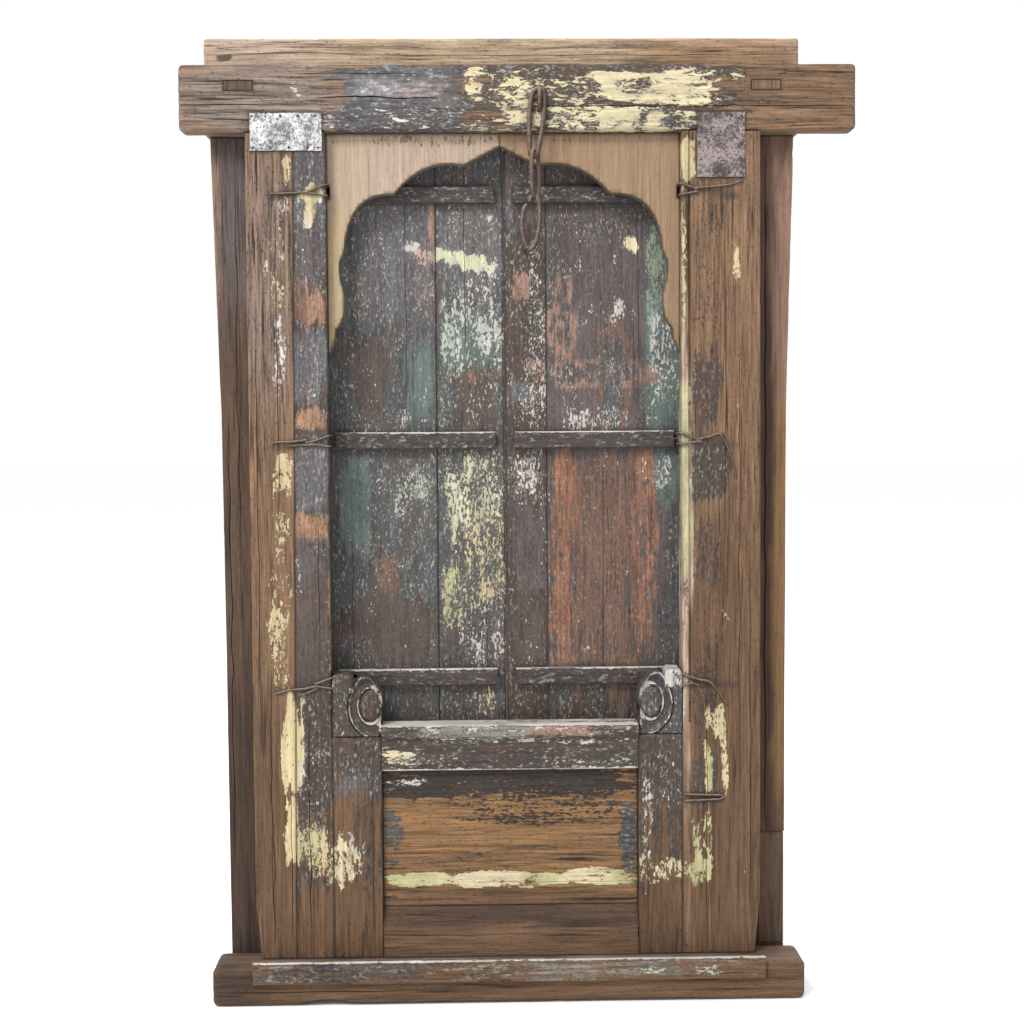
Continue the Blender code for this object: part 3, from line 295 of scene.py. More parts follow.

# Paint as the photograph shows it: the depth of a piece's face in mm and then,
# by layer, a colour and its patches. Each patch has how much of it is left, and its left,
# upper, right and lower edge in pixels. A later patch lies over an earlier one of its layer
PAINT = {
    "lintel": (0, {
        "bare": [("grey_wood", (1, 170, 50, 352, 146)), ("brown_wood", (1, 735, 58, 860, 138)),
            ("umber_wood", (1, 470, 60, 700, 134))],
        "coat": [("slate", (0.93, 330, 62, 478, 134)), ("pale_slate", (0.8, 352, 80, 440, 98)),
            ("slate", (0.35, 296, 76, 352, 108)), ("dark_slate", (0.95, 322, 107, 470, 144)),
            ("umber", (0.97, 462, 52, 735, 144))],
        "flake": [("cream", (0.66, 557, 66, 735, 104), (0.8, 590, 70, 690, 103),
            (0.74, 560, 107, 696, 144), (0.43, 466, 66, 562, 101), (0.68, 464, 68, 482, 98),
            (0.38, 470, 103, 548, 134), (0.42, 438, 100, 472, 128)),
            ("chalk", (0.52, 358, 83, 398, 97), (0.34, 330, 108, 470, 142),
            (0.6, 290, 78, 302, 97), (0.3, 398, 68, 422, 80)),
            ("cream", (0.92, 533, 108, 544, 127), (0.6, 500, 76, 534, 142),
            (0.4, 562, 78, 598, 94), (0.42, 618, 76, 650, 92), (0.4, 548, 110, 566, 134),
            (0.42, 588, 112, 602, 134), (0.45, 636, 108, 646, 130), (0.42, 664, 104, 684, 132),
            (0.58, 548, 100, 600, 142), (0.52, 462, 122, 562, 144)),
            ("chalk", (0.55, 322, 116, 336, 134))],
    }),
    "rear_header": (42, {
        "bare": [("pink_tan", (1, 200, 36, 330, 70)), ("pale_tan", (1, 330, 36, 600, 70)),
            ("brown_tan", (1, 630, 36, 802, 70))],
        "coat": [("umber", (0.9, 216, 57, 234, 62))],
    }),
    "rear_jamb_left": (42, {
        # Darker rear grey towards the front jamb, lighter tan at the outer edge: partly the
        # wood's tone, partly painted shade beside the front jamb
        "bare": [("rear_grey", (1, 205, 130, 250, 330)), ("tan_brown", (0.8, 205, 140, 220, 420)),
            ("umber_wood", (1, 205, 330, 250, 700)), ("dark_wood", (1, 205, 700, 260, 960))],
    }),
    "rear_jamb_right": (42, {
        "bare": [("rear_tan", (1, 760, 120, 800, 450)), ("ochre", (1, 760, 400, 800, 800)),
            # The dark strip beside the front jamb is painted shade, where the front jamb shades
            # the rear one
            ("dark_wood", (0.6, 760, 130, 773, 960))],
    }),
    "front_jamb_left_outer": (0, {
        "bare": [("post_grey", (1, 244, 130, 296, 440)),
            ("brown_wood", (0.8, 244, 420, 296, 700)), ("warm_brown", (1, 244, 700, 296, 960))],
        # The dusk tint is painted shadow under the top hinge pin's tail
        "tint": [("dusk", (0.55, 264, 186, 295, 197))],
        "flake": [("aged_cream", (0.75, 281, 150, 294, 183)),
            ("pink", (0.64, 276, 194, 292, 218)), ("chalk", (0.5, 262, 214, 290, 300)),
            ("aged_cream", (0.54, 268, 240, 284, 330)), ("chalk", (0.62, 272, 326, 286, 404)),
            ("aged_cream", (0.3, 262, 400, 292, 440), (0.74, 273, 446, 295, 500),
            (0.62, 271, 500, 287, 560), (0.52, 264, 556, 296, 640), (0.66, 270, 596, 290, 704),
            (0.92, 282, 700, 308, 800), (0.9, 283, 796, 305, 866))],
    }),
    "front_jamb_left_inner": (0, {
        "bare": [("warm_brown", (1, 293, 880, 335, 960))],
        "coat": [("slate", (0.96, 293, 140, 330, 290)),
            ("dark_slate", (0.96, 296, 150, 322, 186)), ("slate", (0.9, 290, 328, 330, 404),
            (0.9, 290, 434, 333, 511)), ("umber", (0.95, 288, 690, 337, 800),
            (0.6, 296, 800, 337, 880), (0, 290, 892, 340, 965))],
        "tint": [("dusk", (0.9, 293, 216, 330, 290)), ("orange", (0.97, 290, 291, 328, 326)),
            ("brick", (0.8, 290, 291, 304, 326), (0.45, 300, 340, 316, 380)),
            ("orange", (0.96, 290, 406, 330, 433), (0.97, 288, 513, 333, 546)),
            ("dusk", (0.93, 288, 547, 335, 610)), ("plum", (0.95, 288, 592, 335, 700))],
        "flake": [("aged_cream", (0.93, 300, 187, 325, 206), (0.84, 302, 200, 315, 234)),
            ("chalk", (0.5, 298, 226, 312, 292), (0.4, 319, 214, 326, 300),
            (0.52, 302, 378, 328, 405), (0.62, 274, 328, 288, 404), (0.36, 300, 440, 324, 506)),
            ("green", (0.62, 280, 456, 296, 480)), ("chalk", (0.52, 284, 546, 302, 602)),
            ("aged_cream", (0.3, 288, 640, 310, 690)), ("chalk", (0.22, 300, 690, 334, 740)),
            ("aged_cream", (0.92, 282, 700, 308, 800), (0.9, 283, 796, 305, 864)),
            ("olive_cream", (0.62, 306, 745, 318, 850)), ("chalk", (0.5, 312, 744, 326, 760),
            (0.4, 304, 762, 330, 832)), ("olive_cream", (0.74, 302, 822, 328, 874)),
            ("aged_cream", (0.7, 322, 838, 362, 888))],
    }),
    "front_jamb_right": (0, {
        "bare": [("brown_wood", (1, 678, 130, 765, 520)), ("warm_brown", (1, 678, 520, 765, 960)),
            ("pink_tan", (0.85, 680, 340, 691, 745))],
        "coat": [("umber", (0.62, 690, 345, 722, 432), (0.8, 690, 440, 727, 505),
            (0.55, 690, 745, 722, 815), (0, 679, 178, 691, 345), (0.4, 679, 345, 691, 745))],
        "tint": [("plum", (0.55, 690, 178, 728, 245)), ("brick", (0.62, 690, 245, 722, 345)),
            ("plum", (0.75, 690, 505, 722, 600)), ("brick", (0.68, 688, 600, 728, 662)),
            ("plum", (0.72, 690, 662, 722, 745)), ("brick", (0.3, 690, 890, 712, 950))],
        "flake": [("aged_cream", (0.9, 679, 132, 696, 180), (0.72, 679, 178, 689, 345)),
            ("olive_cream", (0.78, 680, 345, 690, 600)), ("pink", (0.62, 680, 600, 690, 690)),
            ("chalk", (0.6, 681, 690, 689, 735), (0.35, 690, 182, 712, 204)),
            ("aged_cream", (0.82, 734, 244, 743, 282), (0.55, 732, 392, 740, 414)),
            ("chalk", (0.3, 694, 430, 724, 502), (0.28, 690, 300, 700, 345),
            (0.25, 716, 520, 724, 610)), ("aged_cream", (0.55, 720, 606, 732, 620)),
            ("olive_cream", (0.85, 704, 735, 713, 795)),
            ("aged_cream", (0.84, 716, 702, 729, 744), (0.74, 720, 736, 728, 796),
            (0.74, 706, 702, 717, 738)), ("chalk", (0.3, 690, 745, 700, 800)),
            ("olive_cream", (0.74, 690, 822, 701, 888), (0.62, 700, 806, 716, 864),
            (0.78, 682, 861, 713, 883)), ("aged_cream", (0.4, 738, 780, 744, 900))],
    }),
    "panel_stile_left": (0, {
        "bare": [("warm_brown", (1, 333, 850, 385, 965))],
        "coat": [("umber", (0.93, 333, 735, 385, 800)), ("slate", (0.6, 338, 780, 372, 832)),
            ("umber", (0.4, 333, 800, 385, 850), (0, 333, 890, 385, 965))],
        "flake": [("chalk", (0.4, 346, 748, 376, 796)), ("cream", (0.74, 322, 836, 362, 888)),
            ("chalk", (0.22, 352, 800, 384, 850))],
    }),
    "panel_stile_right": (0, {
        "bare": [("warm_brown", (1, 638, 850, 688, 965))],
        "coat": [("umber", (0.95, 638, 735, 688, 800), (0, 638, 890, 688, 965))],
        "tint": [("brick", (0.5, 652, 800, 688, 870))],
        "flake": [("chalk", (0.62, 639, 768, 653, 884), (0.42, 653, 738, 688, 800)),
            ("olive_cream", (0.76, 636, 861, 690, 883)), ("cream", (0.6, 640, 866, 680, 882)),
            ("chalk", (0.5, 662, 786, 690, 808))],
    }),
    "panel_top_rail": (0, {
        "coat": [("umber", (0.95, 380, 735, 645, 772))],
        "tint": [("grey_green", (0.85, 380, 722, 645, 738)),
            ("salmon", (0.75, 538, 724, 592, 739)), ("brick", (0.5, 538, 744, 600, 756))],
        "flake": [("chalk", (0.56, 380, 724, 645, 739)), ("cream", (0.74, 383, 748, 416, 767)),
            ("chalk", (0.62, 410, 738, 640, 743), (0.54, 418, 752, 476, 767),
            (0.54, 540, 758, 640, 771))],
    }),
    "panel_board": (12, {
        "bare": [("ochre", (1, 386, 806, 636, 874)), ("warm_brown", (1, 384, 888, 640, 912))],
        "coat": [("charcoal", (0.66, 382, 800, 400, 872), (0.8, 620, 800, 642, 874)),
            ("umber", (0.3, 400, 845, 620, 870))],
        "tint": [("dark_umber", (0.98, 370, 762, 654, 802), (0.68, 448, 794, 632, 826))],
        "flake": [("chalk", (0.6, 385, 776, 426, 788), (0.2, 382, 786, 640, 800)),
            ("olive_cream", (0.9, 382, 871, 452, 887)), ("cream", (0.92, 446, 870, 536, 888)),
            ("olive_cream", (0.86, 526, 872, 572, 885), (0.82, 564, 864, 644, 884)),
            ("cream", (0.8, 566, 868, 610, 884))],
    }),
    "panel_bottom_rail": (0, {
        "bare": [("dark_wood", (1, 380, 905, 645, 929)), ("brown_wood", (1, 380, 930, 645, 962))],
    }),
    "sill": (-40, {
        "bare": [("grey_wood", (0.5, 210, 948, 810, 966)),
            ("dark_wood", (0.5, 210, 966, 262, 1012)),
            ("warm_brown", (0.5, 300, 984, 700, 1004))],
    }),
    "threshold_strip": (-48, {
        "tint": [("grey_green", (0.7, 262, 958, 760, 986)), ("dusk", (0.8, 262, 962, 500, 986)),
            ("warm_brown", (0.6, 430, 966, 520, 986))],
        "flake": [("pale_green", (0.7, 640, 966, 668, 976), (0.7, 690, 966, 724, 976),
            (0.35, 668, 966, 690, 976))],
    }),
    "leaf_left_plank_outer": (60, {
        "coat": [("charcoal", (0.97, 325, 150, 440, 735)), ("slate", (0.92, 352, 165, 440, 320))],
        "tint": [("salmon", (0.75, 424, 200, 437, 262)), ("plum", (0.95, 352, 330, 392, 434)),
            ("dull_teal", (0.95, 335, 240, 350, 330), (0.95, 402, 330, 438, 430),
            (0.95, 335, 450, 380, 560)), ("dusk", (0.8, 430, 262, 438, 330)),
            ("plum", (0.9, 396, 596, 438, 668)), ("brick", (0.78, 374, 556, 402, 642)),
            ("plum", (0.95, 335, 600, 440, 668)), ("brick", (0.5, 335, 640, 372, 668)),
            ("plum", (0.7, 384, 686, 440, 730))],
        "flake": [("chalk", (0.9, 402, 243, 420, 254)), ("pink", (0.9, 416, 250, 437, 264),
            (0.66, 420, 262, 437, 300)), ("chalk", (0.46, 340, 200, 400, 300),
            (0.46, 416, 350, 432, 402), (0.5, 335, 410, 440, 436), (0.42, 338, 448, 386, 530)),
            ("pale_green", (0.6, 384, 470, 435, 520), (0.62, 392, 486, 420, 520),
            (0.48, 400, 516, 437, 600)), ("chalk", (0.34, 398, 600, 437, 668),
            (0.44, 378, 500, 396, 590))],
    }),
    "leaf_left_plank_inner": (60, {
        "coat": [("charcoal", (0.97, 432, 140, 506, 735)), ("slate", (0.95, 438, 205, 503, 290))],
        "tint": [("dull_teal", (0.97, 438, 300, 503, 400)), ("plum", (0.95, 452, 372, 503, 434),
            (0.75, 438, 588, 506, 735))],
        "flake": [("turquoise", (0.64, 440, 300, 478, 400)),
            ("chalk", (0.46, 438, 180, 500, 246)), ("cream_green", (0.97, 432, 247, 450, 262),
            (0.97, 446, 250, 464, 266), (0.97, 460, 254, 478, 270), (0.97, 473, 258, 488, 275),
            (0.97, 484, 263, 498, 281)), ("chalk", (0.55, 452, 276, 500, 304),
            (0.46, 496, 180, 504, 668)), ("pale_green", (0.72, 438, 304, 466, 368)),
            ("chalk", (0.64, 462, 306, 502, 400)), ("pale_green", (0.5, 438, 368, 500, 436)),
            ("salmon", (0.66, 466, 371, 504, 382)), ("pink", (0.5, 495, 412, 504, 448)),
            ("cream_green", (0.68, 442, 452, 503, 560)),
            ("aged_cream", (0.66, 466, 520, 503, 622)),
            ("olive_cream", (0.7, 442, 560, 470, 632)), ("chalk", (0.56, 462, 612, 503, 668)),
            ("cream", (0.66, 474, 688, 500, 712)), ("chalk", (0.46, 440, 686, 474, 728))],
    }),
    "leaf_right_stile": (60, {
        "coat": [("umber", (0.9, 505, 140, 550, 735)), ("slate", (0.8, 505, 150, 518, 235),
            (0.7, 509, 384, 532, 402))],
        "tint": [("dusk", (0.9, 505, 150, 550, 235)), ("salmon", (0.8, 509, 270, 531, 302)),
            ("dusk", (0.96, 509, 500, 548, 600)), ("plum", (0.96, 509, 600, 548, 668))],
        "flake": [("chalk", (0.42, 508, 155, 548, 232)), ("pink", (0.5, 510, 268, 532, 300)),
            ("chalk", (0.6, 529, 258, 548, 432)), ("pink", (0.66, 509, 360, 541, 388)),
            ("cream", (0.5, 509, 372, 536, 386)), ("chalk", (0.58, 513, 396, 546, 432),
            (0.6, 513, 452, 544, 506), (0.4, 512, 560, 546, 640), (0.42, 513, 636, 544, 668),
            (0.4, 510, 690, 546, 730))],
    }),
    "leaf_right_plank": (60, {
        "coat": [("slate", (0.95, 580, 230, 650, 330)), ("charcoal", (0.9, 600, 238, 648, 300),
            (0.95, 655, 452, 680, 668)), ("umber", (0.85, 546, 686, 680, 735)),
            ("slate", (0.8, 604, 520, 612, 668))],
        "tint": [("dusk", (0.97, 546, 150, 680, 735)), ("dull_teal", (0.97, 648, 300, 680, 434),
            (0.95, 652, 452, 680, 500)), ("plum", (0.7, 550, 160, 660, 236)),
            ("brick", (0.45, 600, 330, 626, 432)), ("salmon", (0.66, 549, 286, 572, 348),
            (0.5, 549, 364, 642, 384)), ("rust", (0.84, 550, 474, 584, 668)),
            ("brick", (0.84, 580, 470, 642, 668)), ("rust", (0.7, 636, 476, 654, 640))],
        "flake": [("chalk", (0.42, 550, 180, 646, 432)), ("pink", (0.46, 549, 286, 572, 348)),
            ("chalk", (0.8, 610, 298, 628, 320)), ("cream", (0.97, 622, 235, 637, 250)),
            ("green", (0.74, 643, 224, 674, 322)), ("turquoise", (0.76, 646, 310, 680, 402),
            (0.6, 640, 380, 680, 434)), ("chalk", (0.58, 652, 330, 680, 432)),
            ("mint", (0.5, 655, 400, 678, 434)), ("chalk", (0.6, 556, 408, 640, 434)),
            ("pink", (0.5, 560, 360, 640, 386)), ("turquoise", (0.6, 648, 452, 676, 494)),
            ("chalk", (0.42, 552, 452, 650, 480), (0.3, 552, 476, 680, 668),
            (0.4, 550, 690, 600, 712)), ("salmon", (0.5, 556, 476, 580, 560)),
            ("chalk", (0.8, 582, 646, 592, 654))],
    }),
    "arch_spandrel_left": (20, {
        "bare": [("pink_tan", (1, 322, 132, 505, 215)), ("gold_tan", (1, 322, 215, 360, 360))],
        # The rose band along the top is the painted shadow of the lintel
        "tint": [("rose", (0.62, 330, 133, 505, 146))],
    }),
    "arch_spandrel_right": (20, {
        "bare": [("gold_brown", (1, 500, 132, 690, 360))],
        # The rose band along the top is the painted shadow of the lintel
        "tint": [("rose", (0.5, 500, 133, 690, 145))],
    }),
    "scroll_bracket_left": (-3, {
        "coat": [("umber", (1, 330, 664, 386, 742))],
    }),
    "scroll_bracket_right": (-3, {
        "coat": [("charcoal", (1, 634, 664, 690, 742))],
    }),
}
# Share of the seen paint that is laid on as tints, and as flakes by the first word of a
# piece's name
TINT_SHARE = 0.72
FLAKE_SHARES = {"lintel": 1.0, "front": 0.84, "panel": 0.84}
OTHER_FLAKE_SHARE = 0.78


def linear(name):
    """A named colour as linear values."""
    shares = np.array(COLOURS[name]) / 255.0
    return LIGHT_SHARE * np.where(shares <= 0.04045, shares / 12.92,
                                  ((shares + 0.055) / 1.055) ** 2.4)


def camera_axes():
    """Directions of the camera's right, up and forward."""
    yaw, pitch, roll = (math.radians(a) for a in (CAMERA_YAW, CAMERA_PITCH, CAMERA_ROLL))
    forward = Vector((math.sin(yaw) * math.cos(pitch), math.cos(yaw) * math.cos(pitch),
                      -math.sin(pitch)))
    right = Vector((math.cos(yaw), -math.sin(yaw), 0))
    up = right.cross(forward)
    return (right * math.cos(roll) + up * math.sin(roll),
            up * math.cos(roll) - right * math.sin(roll), forward)


def seen_at(across, down, depth):
    """X and Z, in mm, of what a pixel of the photograph shows at this depth."""
    right, up, forward = (np.array(axis) for axis in camera_axes())
    focal = PHOTO_SIZE * CAMERA_LENS / SENSOR_WIDTH
    ray = forward + ((across - PHOTO_SIZE / 2) * right - (down - PHOTO_SIZE / 2) * up) / focal
    place = np.array(CAMERA_PLACE) / MM
    spot = place + ray * (depth - place[1]) / ray[1]
    return spot[0], spot[2]


# Smooth random values, the same on every run

def lattice(points, seed):
    """Smooth random values between -1 and 1, at points given in cells."""
    base = np.floor(points).astype(np.int64)
    part = points - base
    part = part * part * (3 - 2 * part)
    total = np.zeros(len(points))
    for corner in itertools.product((0, 1), repeat=3):
        cell = base + corner
        mixed = cell[:, 0] * 73856093 ^ cell[:, 1] * 19349663 ^ cell[:, 2] * 83492791
        mixed = (mixed ^ seed * 40503) & 0x7fffffff
        mixed = (mixed ^ mixed >> 13) * 1274126177 & 0x7fffffff
        value = (mixed ^ mixed >> 11 & 0xffff) % 65536 / 32767.5 - 1
        total += value * np.prod(np.where(corner, part, 1 - part), axis=1)
    return total


def cloudy(points, cells, seed, octaves=3):
    """Layers of smooth random values, with cell sizes in metres, for each axis or for all."""
    spots = points / np.array(cells)
    total = np.zeros(len(points))
    for octave in range(octaves):
        total += lattice(spots * 2 ** octave + 17.3 * octave, seed + octave) * 0.5 ** octave
    return total


def seed_of(name):
    return sum(ord(letter) * (place + 3) for place, letter in enumerate(name)) % 9973


def bell(value, middle, width):
    """1 at the middle, falling to 0 about twice the width away."""
    return np.exp(-((value - middle) / width) ** 2)


# Shader nodes

def node(tree, kind, inputs=None, **settings):
    made = tree.nodes.new(kind)
    for key, value in settings.items():
        setattr(made, key, value)
    for key, value in (inputs or {}).items():
        if isinstance(value, bpy.types.NodeSocket):
            tree.links.new(value, made.inputs[key])
        else:
            made.inputs[key].default_value = value
    return made


def attribute(tree, name):
    return node(tree, "ShaderNodeAttribute", attribute_name=name).outputs


def ramp(tree, value, low, high, start=0.0, end=1.0):
    return node(tree, "ShaderNodeMapRange", {
        "Value": value, "From Min": low, "From Max": high, "To Min": start,
        "To Max": end}).outputs[0]


def noise(tree, coords, scale, detail=3.0, roughness=0.55, distortion=0.0, place=(0, 0, 0)):
    """Noise spread over 0 to 1, with a scale for each axis of its coordinates."""
    spot = node(tree, "ShaderNodeMapping", {"Vector": coords, "Location": place,
                                            "Scale": scale})
    made = node(tree, "ShaderNodeTexNoise", {
        "Vector": spot.outputs[0], "Scale": 1.0, "Detail": detail, "Roughness": roughness,
        "Distortion": distortion})
    return ramp(tree, made.outputs["Fac"], 0.30, 0.70)


def maths(tree, operation, first, second, clamp=False):
    return node(tree, "ShaderNodeMath", {0: first, 1: second}, operation=operation,
                use_clamp=clamp).outputs[0]


def weighted(tree, base, *terms):
    """A base value plus each given value times its weight."""
    total = base
    for value, weight in terms:
        total = maths(tree, "ADD", total, maths(tree, "MULTIPLY", value, weight))
    return total


def mixed_value(tree, share, first, second):
    return node(tree, "ShaderNodeMix", {0: share, 2: first, 3: second}).outputs[0]


def mixed_colour(tree, share, first, second, blend="MIX"):
    return node(tree, "ShaderNodeMix", {0: share, 6: first, 7: second}, data_type="RGBA",
                blend_type=blend).outputs[2]


def toned(tree, colour, tone):
    """A colour made lighter or darker by a value."""
    grey = node(tree, "ShaderNodeCombineColor", {0: tone, 1: tone, 2: tone})
    return mixed_colour(tree, 1.0, colour, grey.outputs[0], "MULTIPLY")


def left_over(tree, cover, random_value, sharpness):
    """1 where a coat is left and 0 where it has gone, broken up by random values."""
    gap = maths(tree, "SUBTRACT", cover, random_value)
    return ramp(tree, gap, -0.5 / sharpness, 0.5 / sharpness)


def new_material(name, metallic=0.0, roughness=0.8):
    material = bpy.data.materials.new(name)
    material.use_nodes = True
    shader = material.node_tree.nodes["Principled BSDF"]
    shader.inputs["Metallic"].default_value = metallic
    shader.inputs["Roughness"].default_value = roughness
    return material, material.node_tree, shader


def connect(tree, shader, colour, roughness, height, strength, distance):
    """Feeds a shader with its colour, roughness and bumps."""
    bump = node(tree, "ShaderNodeBump", {"Height": height, "Strength": strength,
                                         "Distance": distance})
    tree.links.new(colour, shader.inputs["Base Color"])
    tree.links.new(roughness, shader.inputs["Roughness"])
    tree.links.new(bump.outputs[0], shader.inputs["Normal"])


# Noise in the wood: scale along and across the grain, detail, roughness, distortion, place
GRAIN_NOISE = {
    "fibres": ((14, 300, 300), 3, 0.75, 0.0, (0, 0, 0)),
    "streaks": ((5, 120, 120), 4, 0.65, 0.5, (3, 1, 7)),
    "bands": ((1.8, 24, 24), 2, 0.5, 0.8, (9, 4, 2)),
    "specks": ((130, 270, 270), 2, 0.7, 0.0, (7, 3, 3)),
    "chunks": ((50, 130, 130), 4, 0.75, 0.5, (6, 2, 5)),
    "fissures": ((6, 165, 165), 3, 0.6, 0.3, (1, 6, 4)),
    "drift": ((10, 32, 32), 3, 0.6, 0.0, (4, 4, 9)),
    "clusters": ((18, 42, 42), 4, 0.7, 0.3, (2, 7, 5)),
}
# Mean and lowest value that the grain multiplies a colour by
MEAN_TONE = 0.95
DARKEST = 0.12
# Sharpness of the edges of coats, tints and flakes
COAT_EDGE = 9
TINT_EDGE = 10
FLAKE_EDGE = 18
# Linear colours: warmth of the broad bands, browner coat, pale bloom on it, and the dark of grime
# mixed with painted shade
WARM_BAND = (0.33, 0.15, 0.08, 1.0)
BROWNER = (1.24, 0.94, 0.82, 1.0)
BLOOM = (0.30, 0.28, 0.255, 1.0)
GRIME_AND_SHADE_COLOUR = (0.022, 0.016, 0.012, 1.0)


def wood_material():
    """Bare wood, a dark coat, tints and pale flakes, each from colours on the vertices."""
    material, tree, shader = new_material("old_painted_wood")
    bare, coat, tint, flake, grime_and_shade, figure, grain = (
        attribute(tree, name)
        for name in ("bare", "coat", "tint", "flake", "grime_and_shade", "figure", "grain"))
    fibres, streaks, bands, specks, chunks, fissures, drift, clusters = (
        noise(tree, grain["Vector"], *settings) for settings in GRAIN_NOISE.values())

    tone = weighted(tree, 0.14, (fibres, 0.80), (streaks, 0.64), (bands, 0.26))
    tone = maths(tree, "MULTIPLY", tone, ramp(tree, fissures, 0.04, 0.30, 0.30, 1.0))
    tone = maths(tree, "MULTIPLY", tone, ramp(tree, specks, 0.0, 0.34, 0.55, 1.0))
    tone = maths(tree, "SUBTRACT", tone, MEAN_TONE)
    tone = weighted(tree, MEAN_TONE, (tone, figure["Fac"]))
    surface = toned(tree, bare["Color"], maths(tree, "MAXIMUM", tone, DARKEST))
    surface = mixed_colour(tree, maths(tree, "MULTIPLY", bands, 0.12), surface, WARM_BAND,
                           "OVERLAY")

    broken = weighted(tree, 0.0, (streaks, 0.45), (chunks, 0.55))
    coat_left = left_over(tree, coat["Alpha"], broken, COAT_EDGE)
    tone = weighted(tree, -0.26, (specks, 0.90), (fibres, 0.82), (bands, 0.34),
                    (chunks, 0.34))
    coating = toned(tree, coat["Color"], maths(tree, "MAXIMUM", tone, DARKEST))
    hue = weighted(tree, 0.0, (drift, 0.50), (streaks, 0.30), (specks, 0.20))
    browner = mixed_colour(tree, 1.0, coating, BROWNER, "MULTIPLY")
    coating = mixed_colour(tree, ramp(tree, hue, 0.46, 0.60, 0.0, 0.75), coating, browner)
    bloom = weighted(tree, 0.0, (chunks, 0.5), (specks, 0.5))
    coating = mixed_colour(tree, ramp(tree, bloom, 0.62, 0.82, 0.0, 0.75), coating, BLOOM)
    surface = mixed_colour(tree, coat_left, surface, coating)

    other = maths(tree, "SUBTRACT", 1.0, chunks)
    broken = weighted(tree, 0.0, (other, 0.40), (specks, 0.34), (streaks, 0.26))
    tint_left = left_over(tree, tint["Alpha"], broken, TINT_EDGE)
    tone = weighted(tree, -0.26, (specks, 0.92), (fibres, 0.90), (drift, 0.62))
    tone = maths(tree, "MAXIMUM", tone, DARKEST)
    surface = mixed_colour(tree, tint_left, surface, toned(tree, tint["Color"], tone))

    fine = weighted(tree, 0.0, (specks, 0.50), (clusters, 0.34), (fibres, 0.16))
    coarse = weighted(tree, 0.05, (chunks, 0.80), (specks, 0.20))
    fine = maths(tree, "ADD", fine, 0.05)
    broken = mixed_value(tree, bare["Alpha"], fine, coarse)
    flake_left = left_over(tree, flake["Alpha"], broken, FLAKE_EDGE)
    tone = weighted(tree, 0.26, (fibres, 0.44), (drift, 0.34), (streaks, 0.34),
                    (specks, 0.30))
    surface = mixed_colour(tree, flake_left, surface, toned(tree, flake["Color"], tone))

    # Grime and painted shade: darkens joints, cracks and carved hollows, where shade falls
    dirt_and_shade = maths(tree, "MULTIPLY", grime_and_shade["Fac"], weighted(tree, 0.62, (specks, 0.40)),
                 clamp=True)
    surface = mixed_colour(tree, dirt_and_shade, surface, GRIME_AND_SHADE_COLOUR)
    roughness = mixed_value(tree, flake_left, mixed_value(tree, coat_left, 0.88, 0.66), 0.76)
    height = weighted(tree, 0.0, (fibres, 0.50), (fissures, 0.35), (coat_left, 0.35),
                      (tint_left, 0.20), (flake_left, 0.50), (specks, 0.15))
    connect(tree, shader, surface, roughness, height, 0.9, 0.0007)
    return material


def iron_material():
    """Hand-forged iron: brown rust with darker and paler scale, and pale dust with a painted
    highlight on what faces up towards the key lamp.
    """
    material, tree, shader = new_material("rusty_iron", 0.35)
    coords = node(tree, "ShaderNodeTexCoord").outputs["Object"]
    patches = noise(tree, coords, (160, 160, 160), 4, 0.6)
    fine = noise(tree, coords, (900, 900, 900), 3, 0.6, 0.0, (3, 1, 2))
    base = mixed_colour(tree, patches, (*linear("iron"), 1), (*linear("rust_red"), 1))
    # Pale dust and painted highlight on the side facing the key lamp
    dust_and_highlight = weighted(tree, 0.0, (fine, 0.6), (attribute(tree, "upper")["Fac"], 0.55))
    base = mixed_colour(tree, ramp(tree, dust_and_highlight, 0.46, 0.88, 0.0, 0.88), base,
                        (*linear("pink_tan"), 1))
    connect(tree, shader, base, ramp(tree, patches, 0, 1, 0.5, 0.9),
            maths(tree, "ADD", patches, fine), 0.9, 0.0005)
    return material


def tin_material(name, pale, dark, dark_share):
    """Dull sheet metal mottled with dark specks."""
    material, tree, shader = new_material(name, 0.25)
    coords = node(tree, "ShaderNodeTexCoord").outputs["Object"]
    mottle = noise(tree, coords, (170, 170, 170), 5, 0.75)
    specks = noise(tree, coords, (420, 420, 420), 3, 0.6, 0.0, (4, 2, 2))
    broad = noise(tree, coords, (40, 40, 40), 3, 0.5, 0.0, (1, 2, 8))
    share = weighted(tree, -0.5, (mottle, 0.6), (broad, 0.4),
                     (attribute(tree, "shade")["Fac"], 1.0))
    base = mixed_colour(tree, ramp(tree, share, 0.30, 0.66), (*dark, 1), (*pale, 1))
    base = mixed_colour(tree, ramp(tree, specks, dark_share, dark_share + 0.12, 1.0, 0.0),
                        base, (0.05, 0.045, 0.045, 1))
    connect(tree, shader, base, ramp(tree, share, 0, 1, 0.75, 0.42), share, 0.6, 0.0005)
    return material


WOOD_MATERIAL = wood_material()
IRON_MATERIAL = iron_material()


# Meshes and objects

# Points nearer than this are one, and how near to a cut a point counts as on it
WELD = 0.00002
CUT_SLACK = 0.00001


def metres(places):
    """Places given in mm."""
    return [tuple(value * MM for value in place) for place in places]


def vectors(items, key):
    """A row of three values for each vertex."""
    values = np.empty(len(items) * 3, np.float32)
    items.foreach_get(key, values)
    return values.reshape(-1, 3).astype(float)


def coordinates(mesh):
    return vectors(mesh.vertices, "co")


def vertex_normals(mesh):
    return vectors(mesh.vertex_normals, "vector")


def put_layer(mesh, name, colours, alpha):
    layer = mesh.color_attributes.new(name, "FLOAT_COLOR", "POINT")
    layer.data.foreach_set("color", np.column_stack([colours, alpha]).astype(
        np.float32).ravel())


def put_values(mesh, name, values):
    field = mesh.attributes.new(name, "FLOAT", "POINT")
    field.data.foreach_set("value", values.astype(np.float32))


